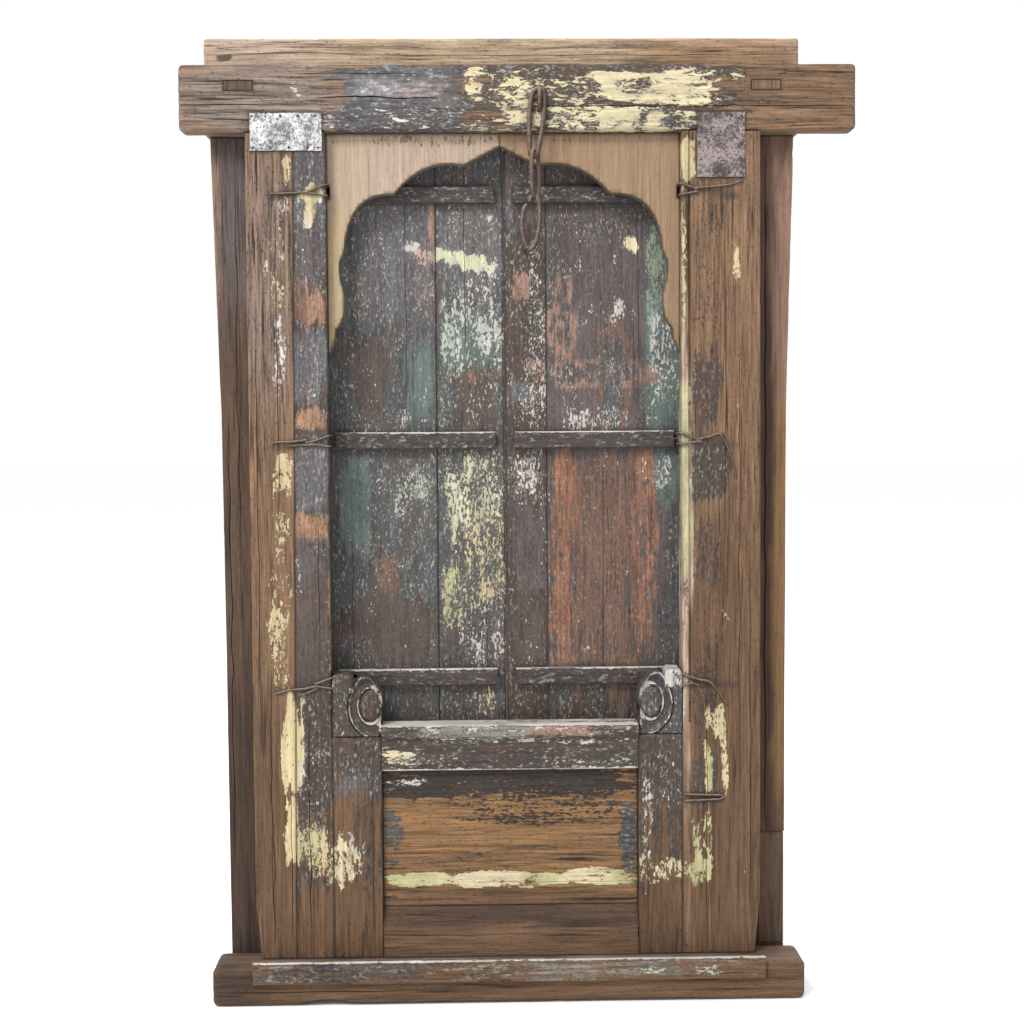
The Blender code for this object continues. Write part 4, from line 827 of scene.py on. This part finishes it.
def mesh_of(form, name):
    mesh = bpy.data.meshes.new(name)
    form.to_mesh(mesh)
    form.free()
    return mesh


def placed(name, data):
    made = bpy.data.objects.new(name, data)
    bpy.context.scene.collection.objects.link(made)
    return made


def stand_in(name, mesh, ending):
    """A new piece that takes the place of a CAD node and rides on its body."""
    piece = placed(name + ending, mesh)
    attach(piece, NODE_BODY[name])
    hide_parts(name)
    return piece


def cut_planes(low, high, cell):
    steps = max(1, round((high - low) / cell))
    return [low + (high - low) * step / steps for step in range(1, steps)]


def cut(form, place, normal, **settings):
    return bmesh.ops.bisect_plane(
        form, geom=form.verts[:] + form.edges[:] + form.faces[:], dist=CUT_SLACK,
        plane_co=place, plane_no=normal, **settings)


def cut_up(form, planes, name):
    """The mesh of a bmesh cut along planes, each an axis number and a place."""
    for axis, place in planes:
        normal = Vector((axis == 0, axis == 1, axis == 2))
        cut(form, normal * place, normal)
    bmesh.ops.triangulate(form, faces=[f for f in form.faces if len(f.verts) > 4])
    bmesh.ops.recalc_face_normals(form, faces=form.faces)
    mesh = mesh_of(form, name)
    for extra_layer in ("custom_normal", "sharp_edge", "sharp_face"):
        if extra_layer in mesh.attributes:
            mesh.attributes.remove(mesh.attributes[extra_layer])
    return mesh


def node_form(name):
    """A bmesh of a CAD node, welded."""
    form = bmesh.new()
    form.from_mesh(NODES[name].data)
    bmesh.ops.remove_doubles(form, verts=form.verts, dist=WELD)
    return form


def gridded(name, cells, extra=()):
    """The mesh of a CAD node, cut into cells of about these sizes in mm."""
    form = node_form(name)
    bmesh.ops.dissolve_limit(form, angle_limit=math.radians(1), verts=form.verts,
                             edges=form.edges)
    low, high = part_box(name)
    planes = [(axis, place) for axis in range(3)
              for place in cut_planes(low[axis], high[axis], cells[axis] * MM)]
    return cut_up(form, sorted(planes + list(extra), key=lambda p: -cells[p[0]]),
                  name + "_cut")


def node_box(name):
    return [np.array(corner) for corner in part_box(name)]


# Wooden pieces

def patches_of(name):
    """Layer, colour, how much is left, and middle and half size in mm of each patch."""
    depth, layers = PAINT.get(name, (0, {}))
    shares = {"tint": TINT_SHARE,
              "flake": FLAKE_SHARES.get(name.split("_")[0], OTHER_FLAKE_SHARE)}
    for layer, runs in layers.items():
        for colour, *patches in runs:
            for cover, left, top, right, bottom in patches:
                level, upright = (top + bottom) / 2, (left + right) / 2
                low_x, high_x = (seen_at(side, level, depth)[0] for side in (left, right))
                low_z, high_z = (seen_at(upright, end, depth)[1] for end in (bottom, top))
                yield (layer, colour, round(cover * shares.get(layer, 1), 2),
                       round((low_x + high_x) / 2), round((low_z + high_z) / 2),
                       round((high_x - low_x) / 2), round((high_z - low_z) / 2))


def paint(name, points, grain_axis, bare, coat, coat_left, flake_left, coarse):
    """Lays the patches of a piece over its first colours, with ragged borders."""
    count = len(points)
    layers = {layer: [np.tile(linear(colour), (count, 1)), np.full(count, float(left))]
              for layer, colour, left in (("bare", bare, coarse), ("coat", coat, coat_left),
                                          ("tint", coat, 0), ("flake", "chalk", flake_left))}
    cells = np.full(3, 0.02)
    cells[grain_axis] = 0.07
    reach_cells = np.full(3, 0.035)
    reach_cells[ACROSS[grain_axis]] = 0.005
    seed = seed_of(name)
    sway = cloudy(points, cells, seed)
    reach = cloudy(points, reach_cells, seed + 7, 2)
    x = points[:, 0] / MM + 5 * sway
    z = points[:, 2] / MM + 5 * cloudy(points, cells, seed + 31)
    for layer, colour, cover, x_mid, z_mid, half_x, half_z in patches_of(name):
        far = (np.abs(x - x_mid) / half_x) ** 3 + (np.abs(z - z_mid) / half_z) ** 3
        far = np.cbrt(far) + 0.25 * reach + 0.10 * sway
        soft = 0.40 if layer == "bare" else 0.18 if cover > 0.7 else 0.38
        soft += 1.5 / min(half_x, half_z)
        share = np.clip((1 + soft - far) / (2 * soft), 0, 1)
        share = share * share * (3 - 2 * share)
        tint, left = layers[layer]
        blend = share if layer in ("bare", "coat") else np.clip(share * 4, 0, 1)
        tint += (linear(colour) - tint) * blend[:, None]
        if layer == "coat" or (layer != "bare" and cover > 0.3):
            left += (cover - left) * share
        elif layer != "bare":
            np.maximum(left, cover * share, out=left)
    return layers


def crevices(name, points):
    """Grime and painted shade where parts meet: 1 where another solid touches, falling to 0
    within some millimetres.
    """
    corners, faces = [], []
    for other, solid in NODES.items():
        if other != name and not (other.startswith("scroll") and "stile" in name):
            start = len(corners)
            corners += [v.co for v in solid.data.vertices]
            faces += [[start + i for i in f.vertices] for f in solid.data.polygons]
    tree = BVHTree.FromPolygons(corners, faces)
    gap = np.full(len(points), SHADE_AND_GRIME_REACH)
    for index, point in enumerate(points):
        found = tree.find_nearest(point, SHADE_AND_GRIME_REACH)
        if found[3] is not None:
            gap[index] = found[3]
    return np.clip(np.exp(-gap / SHADE_AND_GRIME_FADE) * 1.25 - 0.03, 0, 1)


def open_cracks(name, points, normals, worn, edge, grime_and_shade, grain_axis):
    """Sinks the long cracks into the front and the back, and returns the grime and painted shade
    in them.
    """
    across = ACROSS[grain_axis]
    along = points[:, grain_axis] / MM
    spots = np.column_stack([along * MM, along * 0, along * 0])
    for place, start, end, width, depth, wave in CRACKS.get(name, ()):
        inside = (along > start) & (along < end) & (np.abs(normals[:, 1]) > 0.7)
        taper = np.sin(np.clip((along - start) / (end - start), 0, 1) * math.pi) ** 0.5
        off = np.abs(points[:, across] / MM - place)
        line = inside & (off < 0.1 * width)
        swing = cloudy(spots, 0.05, seed_of(name) + int(place)) * wave
        swing *= np.exp(-off / 12.0) * taper
        worn[:, across] += np.where(inside & (edge > 0.004), swing, 0) * MM
        worn[:, 1] -= np.where(line, np.sign(normals[:, 1]) * depth * taper, 0) * MM
        grime_and_shade = np.where(line, np.maximum(grime_and_shade, 0.9 * taper), grime_and_shade)
    return grime_and_shade


def dress(name, mesh, layers, grime_and_shade, grain_axis, sway, ending):
    """Gives a mesh its colours and grain field, and puts it in its node's place."""
    for layer, (tint, left) in layers.items():
        put_layer(mesh, layer, np.clip(tint, 0, 1), left)
    put_values(mesh, "grime_and_shade", grime_and_shade)
    points = coordinates(mesh)
    put_values(mesh, "figure", np.interp(points[:, 2], FIGURE_HEIGHTS,
                                         FIGURE.get(name, (1.0, 1.0))))
    seed = seed_of(name)
    grain = points[:, [grain_axis, ACROSS[grain_axis], 1]]
    grain += np.array([seed % 37, seed % 11, seed % 7]) * 0.37
    grain[:, 1] += sway
    field = mesh.attributes.new("grain", "FLOAT_VECTOR", "POINT")
    field.data.foreach_set("vector", grain.astype(np.float32).ravel())
    mesh.materials.append(WOOD_MATERIAL)
    mesh.shade_smooth()
    mesh.set_sharp_from_angle(angle=math.radians(42))
    return stand_in(name, mesh, ending)


def weather(name):
    """A worn and painted copy of a wooden CAD node."""
    axis_name, cells, *colours, wear, relief = WOOD[name]
    grain_axis = AXES[axis_name]
    across = ACROSS[grain_axis]
    low, high = node_box(name)
    extra = [(across, (place + step * width / 2) * MM)
             for place, _, _, width, _, _ in CRACKS.get(name, ()) for step in (-1, 0, 1)]
    extra += [(axis, place) for axis in (across, 1)
              for place in (low[axis] + ARRIS * MM, high[axis] - ARRIS * MM)]
    mesh = gridded(name, cells, extra)
    points = coordinates(mesh)
    normals = vertex_normals(mesh)
    seed = seed_of(name)
    edge = np.sort(np.minimum(points - low, high - points), axis=1)[:, 1]
    long_cells = np.full(3, 0.009)
    long_cells[grain_axis] = 0.12
    broad_cells = np.full(3, 0.05)
    broad_cells[grain_axis] = 0.45
    ridges = cloudy(points, long_cells, seed)
    swell = cloudy(points, broad_cells, seed + 11, 2)
    chips = np.clip(cloudy(points, 0.014, seed + 23), 0, 2)
    grime_and_shade = crevices(name, points)
    facing = np.abs(normals[:, 1])
    # The cut rim of the arch boards is darkened as painted shade: the underside of the cusps in
    # shadow
    if name.startswith("arch"):
        rim = (facing < 0.8) & (edge > RIM_FROM)
        grime_and_shade = np.maximum(grime_and_shade, np.where(rim, ARCH_RIM_SHADE, 0))

    push = relief * (0.45 + 0.35 * ridges + 0.25 * swell)
    push += wear * np.exp(-edge / WEAR_FADE) * (0.18 + 1.1 * chips ** 2)
    push[(push < 0) | ((grime_and_shade > 0.7) & (facing <= 0.5) & (edge > RIM_FROM))] = 0
    worn = points - normals * push[:, None] * MM
    meeting = MEETING_SIDE.get(name)
    if meeting:
        inner = low[0] if meeting < 0 else high[0]
        behind = (np.abs(points[:, 0] - inner) < MEETING_LAP) & (
            points[:, 1] > low[1] + MEETING_CHAMFER)
        worn[:, 0] += np.where(behind, meeting * MEETING_LAP, 0)
    grime_and_shade = open_cracks(name, points, normals, worn, edge, grime_and_shade, grain_axis)
    mesh.vertices.foreach_set("co", worn.ravel())

    layers = paint(name, points, grain_axis, *colours)
    behind = np.clip(2 * (points[:, 1] - low[1]) / (high[1] - low[1]) - 0.5, 0, 1)
    for layer in ("tint", "flake"):
        layers[layer][1] *= 1 - BACK_LOSS * behind
    bare_edge = np.exp(-edge / BARE_FADE) * np.clip(0.75 + 0.5 * ridges, 0, 1) * (1 - grime_and_shade)
    layers["coat"][1] *= 1 - 0.60 * bare_edge
    # A pale line along the arris: partly worn pale paint, partly painted highlight
    if name in PAINTED_HIGHLIGHT_EDGES:
        rise = high[2] - points[:, 2]
        if name == "panel_top_rail":
            rise = np.minimum(rise, points[:, 2] - low[2])
        painted_highlight = bell(rise, 0, PAINTED_HIGHLIGHT_REACH) * (normals[:, 1] < 0.5)
        layers["flake"][1] = np.maximum(layers["flake"][1], painted_highlight * (0.74 + 0.20 * ridges))
    layers["flake"][1] *= 1 - 0.15 * bare_edge
    layers["bare"][0] *= (1 + 0.28 * bare_edge)[:, None]
    return dress(name, mesh, layers, grime_and_shade, grain_axis, 0.004 * swell, "_wood")


# Carved scrolls

def scroll_outline(turn, mid, knob_top, knob_from):
    """Silhouette of a scroll, in mm."""
    spots = [(turn * (x - SCROLL_MID[0]) + mid[0],
              max(z - SCROLL_MID[1] + mid[1], SCROLL_FOOT)) for x, z in SCROLL_EDGE]
    knob = [(knob_from - 1, spots[-1][1] - 3), (knob_from, knob_top - 5),
            (knob_from + 5, knob_top), (KNOB_SIDE - 3.7, knob_top - 1),
            (KNOB_SIDE - 1.2, knob_top - 4), (KNOB_SIDE, knob_top - 12),
            (KNOB_SIDE, SCROLL_FOOT)]
    return spots + [(turn * x, z) for x, z in knob]


def scroll_depth(across, up):
    """Carving at places measured from the eye, in eye radii.

    Returns its depth in mm, how pale it is (pale paint on the ridges, partly a painted
    highlight), the share of the way from the eye's rim to the outer band's edge, and whether it
    is in the eye.
    """
    rho = np.hypot(across, up)
    turn = np.degrees(np.arctan2(up, across)) % 360
    turns, reaches = zip(*SCROLL_REACH)
    part = np.clip((rho - 1.12) / (np.interp(turn, turns, reaches) - 1.12), 0, 2)
    eye = 5.5 * (1 - np.sqrt(np.clip(1 - rho ** 2, 0, 1)))
    cove = 0.4 + 5.0 * np.sin(np.clip(part, 0, 1) * math.pi) ** 0.8
    eye_line = 5.0 * bell(rho, 1.06, 0.045)
    outer_line = 3.5 * bell(part, 1.10, 0.06)
    inner_line = 2.5 * bell(part, 0.17, 0.05)
    hollow = 4.0 * bell(turn, 70, 22) * bell(part, 0.35, 0.25)
    depth = np.where(rho < 1, eye, np.where(part < 1, cove, 2.6))
    depth += eye_line + outer_line + inner_line + hollow

    # Pale paint on the ridges round the eye, partly a painted highlight
    outward = 0.5 + 0.5 * np.cos(np.radians(turn + 25))
    pale = 0.95 * outward * bell(rho, 1.17, 0.10)
    pale += 0.80 * (1 - outward) * bell(rho, 1.12, 0.17)
    pale += (0.30 + 0.45 * outward) * bell(part, 0.95, 0.13)
    pale += 0.40 * outward * bell(part, 0.42, 0.12)
    pale += 0.50 * bell(turn, 92, 34) * bell(part, 0.92, 0.16)
    pale += 0.80 * bell(turn, 132, 22) * (rho > 0.9)
    pale += 0.75 * bell(turn, 230, 20) * ((rho > 1.05) & (rho < 1.8))
    return depth, np.clip(pale, 0, 1), part, rho < 0.95


def scroll_block(name, outline):
    """The finely cut block of a scroll, as deep as its node."""
    low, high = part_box(name)
    form = bmesh.new()
    face = form.faces.new([form.verts.new((x * MM, low[1], z * MM)) for x, z in outline])
    bmesh.ops.triangulate(form, faces=[face])
    made = bmesh.ops.extrude_face_region(form, geom=form.faces[:])
    for part in made["geom"]:
        if isinstance(part, bmesh.types.BMVert):
            part.co.y = high[1]
    cuts = [(axis, place) for axis in (0, 2)
            for place in cut_planes(low[axis], high[axis], SCROLL_CELL)]
    cuts += [(1, low[1] + step * MM) for step in (1, 4, 12, 24)]
    return cut_up(form, cuts, name + "_carving")


def carve_scroll(name, turn, mid, knob_top, knob_from, knob_paint):
    low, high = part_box(name)
    mesh = scroll_block(name, scroll_outline(turn, mid, knob_top, knob_from))
    points = coordinates(mesh)
    normals = vertex_normals(mesh)
    x, z = turn * points[:, 0] / MM, points[:, 2] / MM
    depth, pale, part, in_eye = scroll_depth((x - turn * mid[0]) / SCROLL_EYE[0],
                                             (z - mid[1]) / SCROLL_EYE[1])
    on_knob = (x > knob_from - 1) & (z > knob_top - KNOB_HEIGHT)
    slope = np.clip((z - knob_top + 7) / 7, 0, 1)
    rounding = (np.exp((knob_from - x) / 1.6) + np.exp((x - KNOB_SIDE - 0.3) / 1.6)
                + np.exp((knob_top - KNOB_HEIGHT - z) / 2.2))
    depth = np.where(on_knob, 4 * slope + 2.4 * np.clip(rounding, 0, 1.3), depth)
    rough = cloudy(points, (0.006, 0.006, 0.012), seed_of(name))
    depth = np.clip(depth + 0.5 * rough + 0.3, 0.05, None)
    front = points[:, 1] < low[1] + 0.0005
    inner = points[:, 1] < low[1] + 0.0045
    sink = np.where(front, depth, np.where(inner, np.maximum(depth - 2.2, 0), 0)) * MM
    points[:, 1] = np.clip(points[:, 1] + sink, low[1], high[1])
    sides = ~front & (np.abs(normals[:, 1]) < 0.5)
    points -= normals * np.where(sides, 0.4 + 0.3 * rough, 0)[:, None] * MM
    mesh.vertices.foreach_set("co", points.ravel())

    field = front & (part >= 1.02) & ~on_knob
    layers = paint(name, points, AXES["Z"], "umber_wood", "charcoal", 0.86, 0.25, 0.5)
    # Pale flakes on the ridges and on the knob's upper facet: partly pale paint, partly painted
    # highlight
    pale = np.clip(pale * (0.84 + 0.60 * rough), 0, 0.92)
    layers["coat"][1][field] = 0.70
    layers["flake"][1] = np.select(
        [front & in_eye, field, on_knob, front],
        [0.18, 0.36, knob_paint + 0.1 * slope + 0.22 * rough, np.maximum(0.28, pale)], 0.2)
    # Painted shade, with some grime, in the deep hollows of the carving, weaker on the pale
    # ridges
    grime_and_shade = np.clip((depth - 3.2) / 4.0, 0, 0.75) * front * np.where(pale > 0.4, 0.2, 1)
    return dress(name, mesh, layers, grime_and_shade, AXES["Z"], 0, "_carving")


# Ironwork

def smooth_line(spots, closed=False, step=0.002):
    """Points about this far apart on a Catmull-Rom curve through the spots."""
    spots = [np.array(s, float) for s in spots]
    if closed:
        ring = [spots[-1]] + spots + spots[:2]
    else:
        ring = [2 * spots[0] - spots[1]] + spots + [2 * spots[-1] - spots[-2]]
    line = []
    for a, b, c, d in zip(ring, ring[1:], ring[2:], ring[3:]):
        count = max(2, round(np.linalg.norm(c - b) / step))
        for i in range(count):
            t = i / count
            line.append(0.5 * (2 * b + (c - a) * t + (2 * a - 5 * b + 4 * c - d) * t ** 2
                               + (3 * b - a - 3 * c + d) * t ** 3))
    if not closed:
        line.append(spots[-1])
    return np.array(line)


def add_wire(form, spots, radius, seed, closed=False, taper=0.0):
    """Sweeps an uneven round bar along a curve into a bmesh."""
    line = smooth_line(spots, closed)
    count = len(line)
    swell = cloudy(line, 0.011, seed, 2)
    ahead = np.roll(line, -1, 0) - np.roll(line, 1, 0)
    if not closed:
        ahead[0], ahead[-1] = line[1] - line[0], line[-1] - line[-2]
    ahead /= np.linalg.norm(ahead, axis=1)[:, None]
    side = np.cross(ahead[0], (0.13, 1.0, 0.21))
    rings = []
    for i in range(count):
        side = side - ahead[i] * side.dot(ahead[i])
        side /= np.linalg.norm(side)
        other = np.cross(ahead[i], side)
        ring = []
        for k in range(WIRE_SIDES):
            turn = math.tau * k / WIRE_SIDES
            reach = radius * (1 - taper * i / count) * (
                1 + 0.16 * swell[i] + 0.05 * math.cos(3 * turn + i))
            ring.append(form.verts.new(line[i] + reach * (
                math.cos(turn) * side + math.sin(turn) * other)))
        rings.append(ring)
    pairs = list(zip(rings, rings[1:])) + ([(rings[-1], rings[0])] if closed else [])
    for first, second in pairs:
        for k in range(WIRE_SIDES):
            m = (k + 1) % WIRE_SIDES
            form.faces.new((first[k], first[m], second[m], second[k]))
    if not closed:
        form.faces.new(rings[0][::-1])
        form.faces.new(rings[-1])


def iron_piece(name, form):
    bmesh.ops.recalc_face_normals(form, faces=form.faces)
    mesh = mesh_of(form, name + "_forged")
    mesh.shade_smooth()
    # How much each vertex faces the key lamp, for the iron's dust and painted highlight
    put_values(mesh, "upper", vertex_normals(mesh) @ HIGHLIGHT_AND_DUST_FROM)
    mesh.materials.append(IRON_MATERIAL)
    return stand_in(name, mesh, "_forged")


def wire_piece(name, spots, radius, closed=False, taper=0.0):
    form = bmesh.new()
    add_wire(form, metres(spots), radius * MM, seed_of(name), closed, taper)
    return iron_piece(name, form)


def forge(name, keep=None, tails=()):
    """A rough-surfaced copy of an iron CAD node; tails replace what lies beyond keep."""
    form = node_form(name)
    if keep:
        found = cut(form, (keep * MM, 0, 0), (math.copysign(1, keep), 0, 0),
                    clear_outer=True)
        loose = [e for e in found["geom_cut"] if isinstance(e, bmesh.types.BMEdge)]
        bmesh.ops.holes_fill(form, edges=loose, sides=40)
    lump = placed("raw", mesh_of(form, "raw"))
    fine = lump.modifiers.new("fine", "REMESH")
    fine.mode = "VOXEL"
    fine.voxel_size = FORGED_CELL
    made = bpy.data.meshes.new_from_object(
        lump.evaluated_get(bpy.context.evaluated_depsgraph_get()))
    bpy.data.objects.remove(lump)
    points = coordinates(made)
    pits = cloudy(points, 0.005, seed_of(name))
    points -= vertex_normals(made) * (0.30 + 0.35 * pits)[:, None] * MM
    made.vertices.foreach_set("co", points.ravel())
    form = bmesh.new()
    form.from_mesh(made)
    for number, (radius, spots) in enumerate(tails):
        add_wire(form, metres(spots), radius * MM, seed_of(name) + number, taper=0.25)
    return iron_piece(name, form)


def chain_link(name, mid, ends, halves, lean, twist, radius):
    """A long link: a flattened ring, wider at one end, that leans and turns."""
    across, deep = math.cos(math.radians(twist)), math.sin(math.radians(twist))
    spots = []
    for step in range(LINK_STEPS):
        turn = math.tau * step / LINK_STEPS
        share = (math.cos(turn) + 1) / 2
        half = halves[0] + (halves[1] - halves[0]) * share
        side = half * math.copysign(abs(math.sin(turn)) ** 0.6, math.sin(turn))
        spots.append((mid[0] + lean * (1 - share) + side * across, mid[1] + side * deep,
                      ends[0] + (ends[1] - ends[0]) * share))
    return wire_piece(name, spots, radius, closed=True)


def nails(body, radius, places):
    """Hammered nail heads of one body, as one piece."""
    name = "nails_" + body
    form = bmesh.new()
    chance = random.Random(seed_of(name))
    for place in metres(places):
        size = radius * MM * chance.uniform(0.8, 1.2)
        turn = Matrix.Rotation(chance.uniform(0, 3), 4, "Y")
        shape = Matrix.Translation(place) @ turn @ Matrix.Diagonal(
            (size, size * chance.uniform(0.28, 0.4), size * chance.uniform(0.75, 1.0), 1))
        made = bmesh.ops.create_icosphere(form, subdivisions=2, radius=1, matrix=shape)
        for vert in made["verts"]:
            vert.co += Vector((chance.uniform(-1, 1), chance.uniform(-0.4, 0.4),
                               chance.uniform(-1, 1))) * 0.12 * MM
    mesh = mesh_of(form, name)
    mesh.shade_smooth()
    mesh.materials.append(IRON_MATERIAL)
    piece = placed(name, mesh)
    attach(piece, body)
    return piece


def tin_plate(name, material_name, pale, dark, dark_share, mottling, light_band):
    """A thin nailed sheet: wavy, with ragged edges and a mottled shade."""
    low, high = node_box(name)
    mesh = gridded(name, (2.5, 4, 2.5))
    points = coordinates(mesh)
    flat = points * (1, 0, 1)
    seed = seed_of(name)
    waves = cloudy(flat, 0.02, seed)
    ragged = cloudy(flat, 0.006, seed + 5, 2)
    border = np.minimum(points - low, high - points)[:, [0, 2]].min(axis=1)
    pull = np.exp(-border / 0.002) * (0.5 + 0.6 * ragged) * MM
    inward = (low + high) / 2 - points
    inward[:, 1] = 0
    inward /= np.linalg.norm(inward, axis=1)[:, None] + 1e-9
    worn = points + inward * pull[:, None]
    worn[:, 1] += 0.22 * MM * (waves + 0.4) * np.where(border > 0.004, 1, 0.3)
    worn[:, 1] = np.clip(worn[:, 1], low[1], 0.0001)
    mesh.vertices.foreach_set("co", worn.ravel())
    shade = 0.5 + mottling * cloudy(flat, 0.016, seed + 9)
    if light_band:
        near = np.exp(-((points[:, 2] / MM - light_band) / 7) ** 4)
        shade += 0.4 * near * (0.6 + 0.6 * ragged)
    put_values(mesh, "shade", shade)
    mesh.materials.append(tin_material(material_name, pale, dark, dark_share))
    mesh.shade_smooth()
    mesh.set_sharp_from_angle(angle=math.radians(50))
    return stand_in(name, mesh, "_tin")


# Floor, light and camera

def make_stage():
    bpy.ops.mesh.primitive_plane_add(size=FLOOR_SIZE)
    floor = bpy.context.active_object
    floor.name = "floor"
    material, tree, shader = new_material("pale_floor", roughness=0.9)
    coords = node(tree, "ShaderNodeTexCoord").outputs["Object"]
    tone = mixed_colour(tree, noise(tree, coords, (3, 3, 3)), *FLOOR_TONES)
    tree.links.new(tone, shader.inputs["Base Color"])
    floor.data.materials.append(material)


def make_lights():
    world = bpy.data.worlds.new("studio")
    bpy.context.scene.world = world
    world.use_nodes = True
    background = world.node_tree.nodes["Background"]
    background.inputs["Color"].default_value = (1.0, 1.0, 1.0, 1.0)
    background.inputs["Strength"].default_value = 1.0
    for name, (place, target, size, power) in LAMPS.items():
        light = bpy.data.lights.new(name, "AREA")
        light.size = size
        light.energy = power
        lamp = placed(name, light)
        lamp.location = place
        aim = Vector(target) - Vector(place)
        lamp.rotation_euler = aim.to_track_quat("-Z", "Y").to_euler()


def make_camera():
    right, up, forward = camera_axes()
    data = bpy.data.cameras.new("photo_camera")
    data.lens = CAMERA_LENS
    data.sensor_width = SENSOR_WIDTH
    camera = placed("photo_camera", data)
    turned = Matrix((right, up, -forward)).transposed().to_4x4()
    camera.matrix_world = Matrix.Translation(CAMERA_PLACE) @ turned
    bpy.context.scene.camera = camera


for wooden in WOOD:
    weather(wooden)
for scroll, form_of_it in SCROLLS.items():
    carve_scroll(scroll, *form_of_it)
for plate, look in TIN.items():
    tin_plate(plate, *look)
for bar, (bar_spots, bar_radius, thinning) in CHAIN_BARS.items():
    wire_piece(bar, bar_spots, bar_radius, taper=thinning)
for link, sizes_of_it in CHAIN_LINKS.items():
    chain_link(link, *sizes_of_it)
for pin, (keep_to, tail_lines) in PIN_TAILS.items():
    forge(pin, keep_to, tail_lines)
for iron in ("leaf_right_staple", "clench_staple"):
    forge(iron)
for level in LEVELS:
    forge("leaf_{}_eye_{}".format(*level))
for body_name, (nail_radius, nail_places) in NAILS.items():
    nails(body_name, nail_radius, nail_places)
make_stage()
make_lights()
make_camera()
bpy.context.scene.view_settings.view_transform = "Standard"
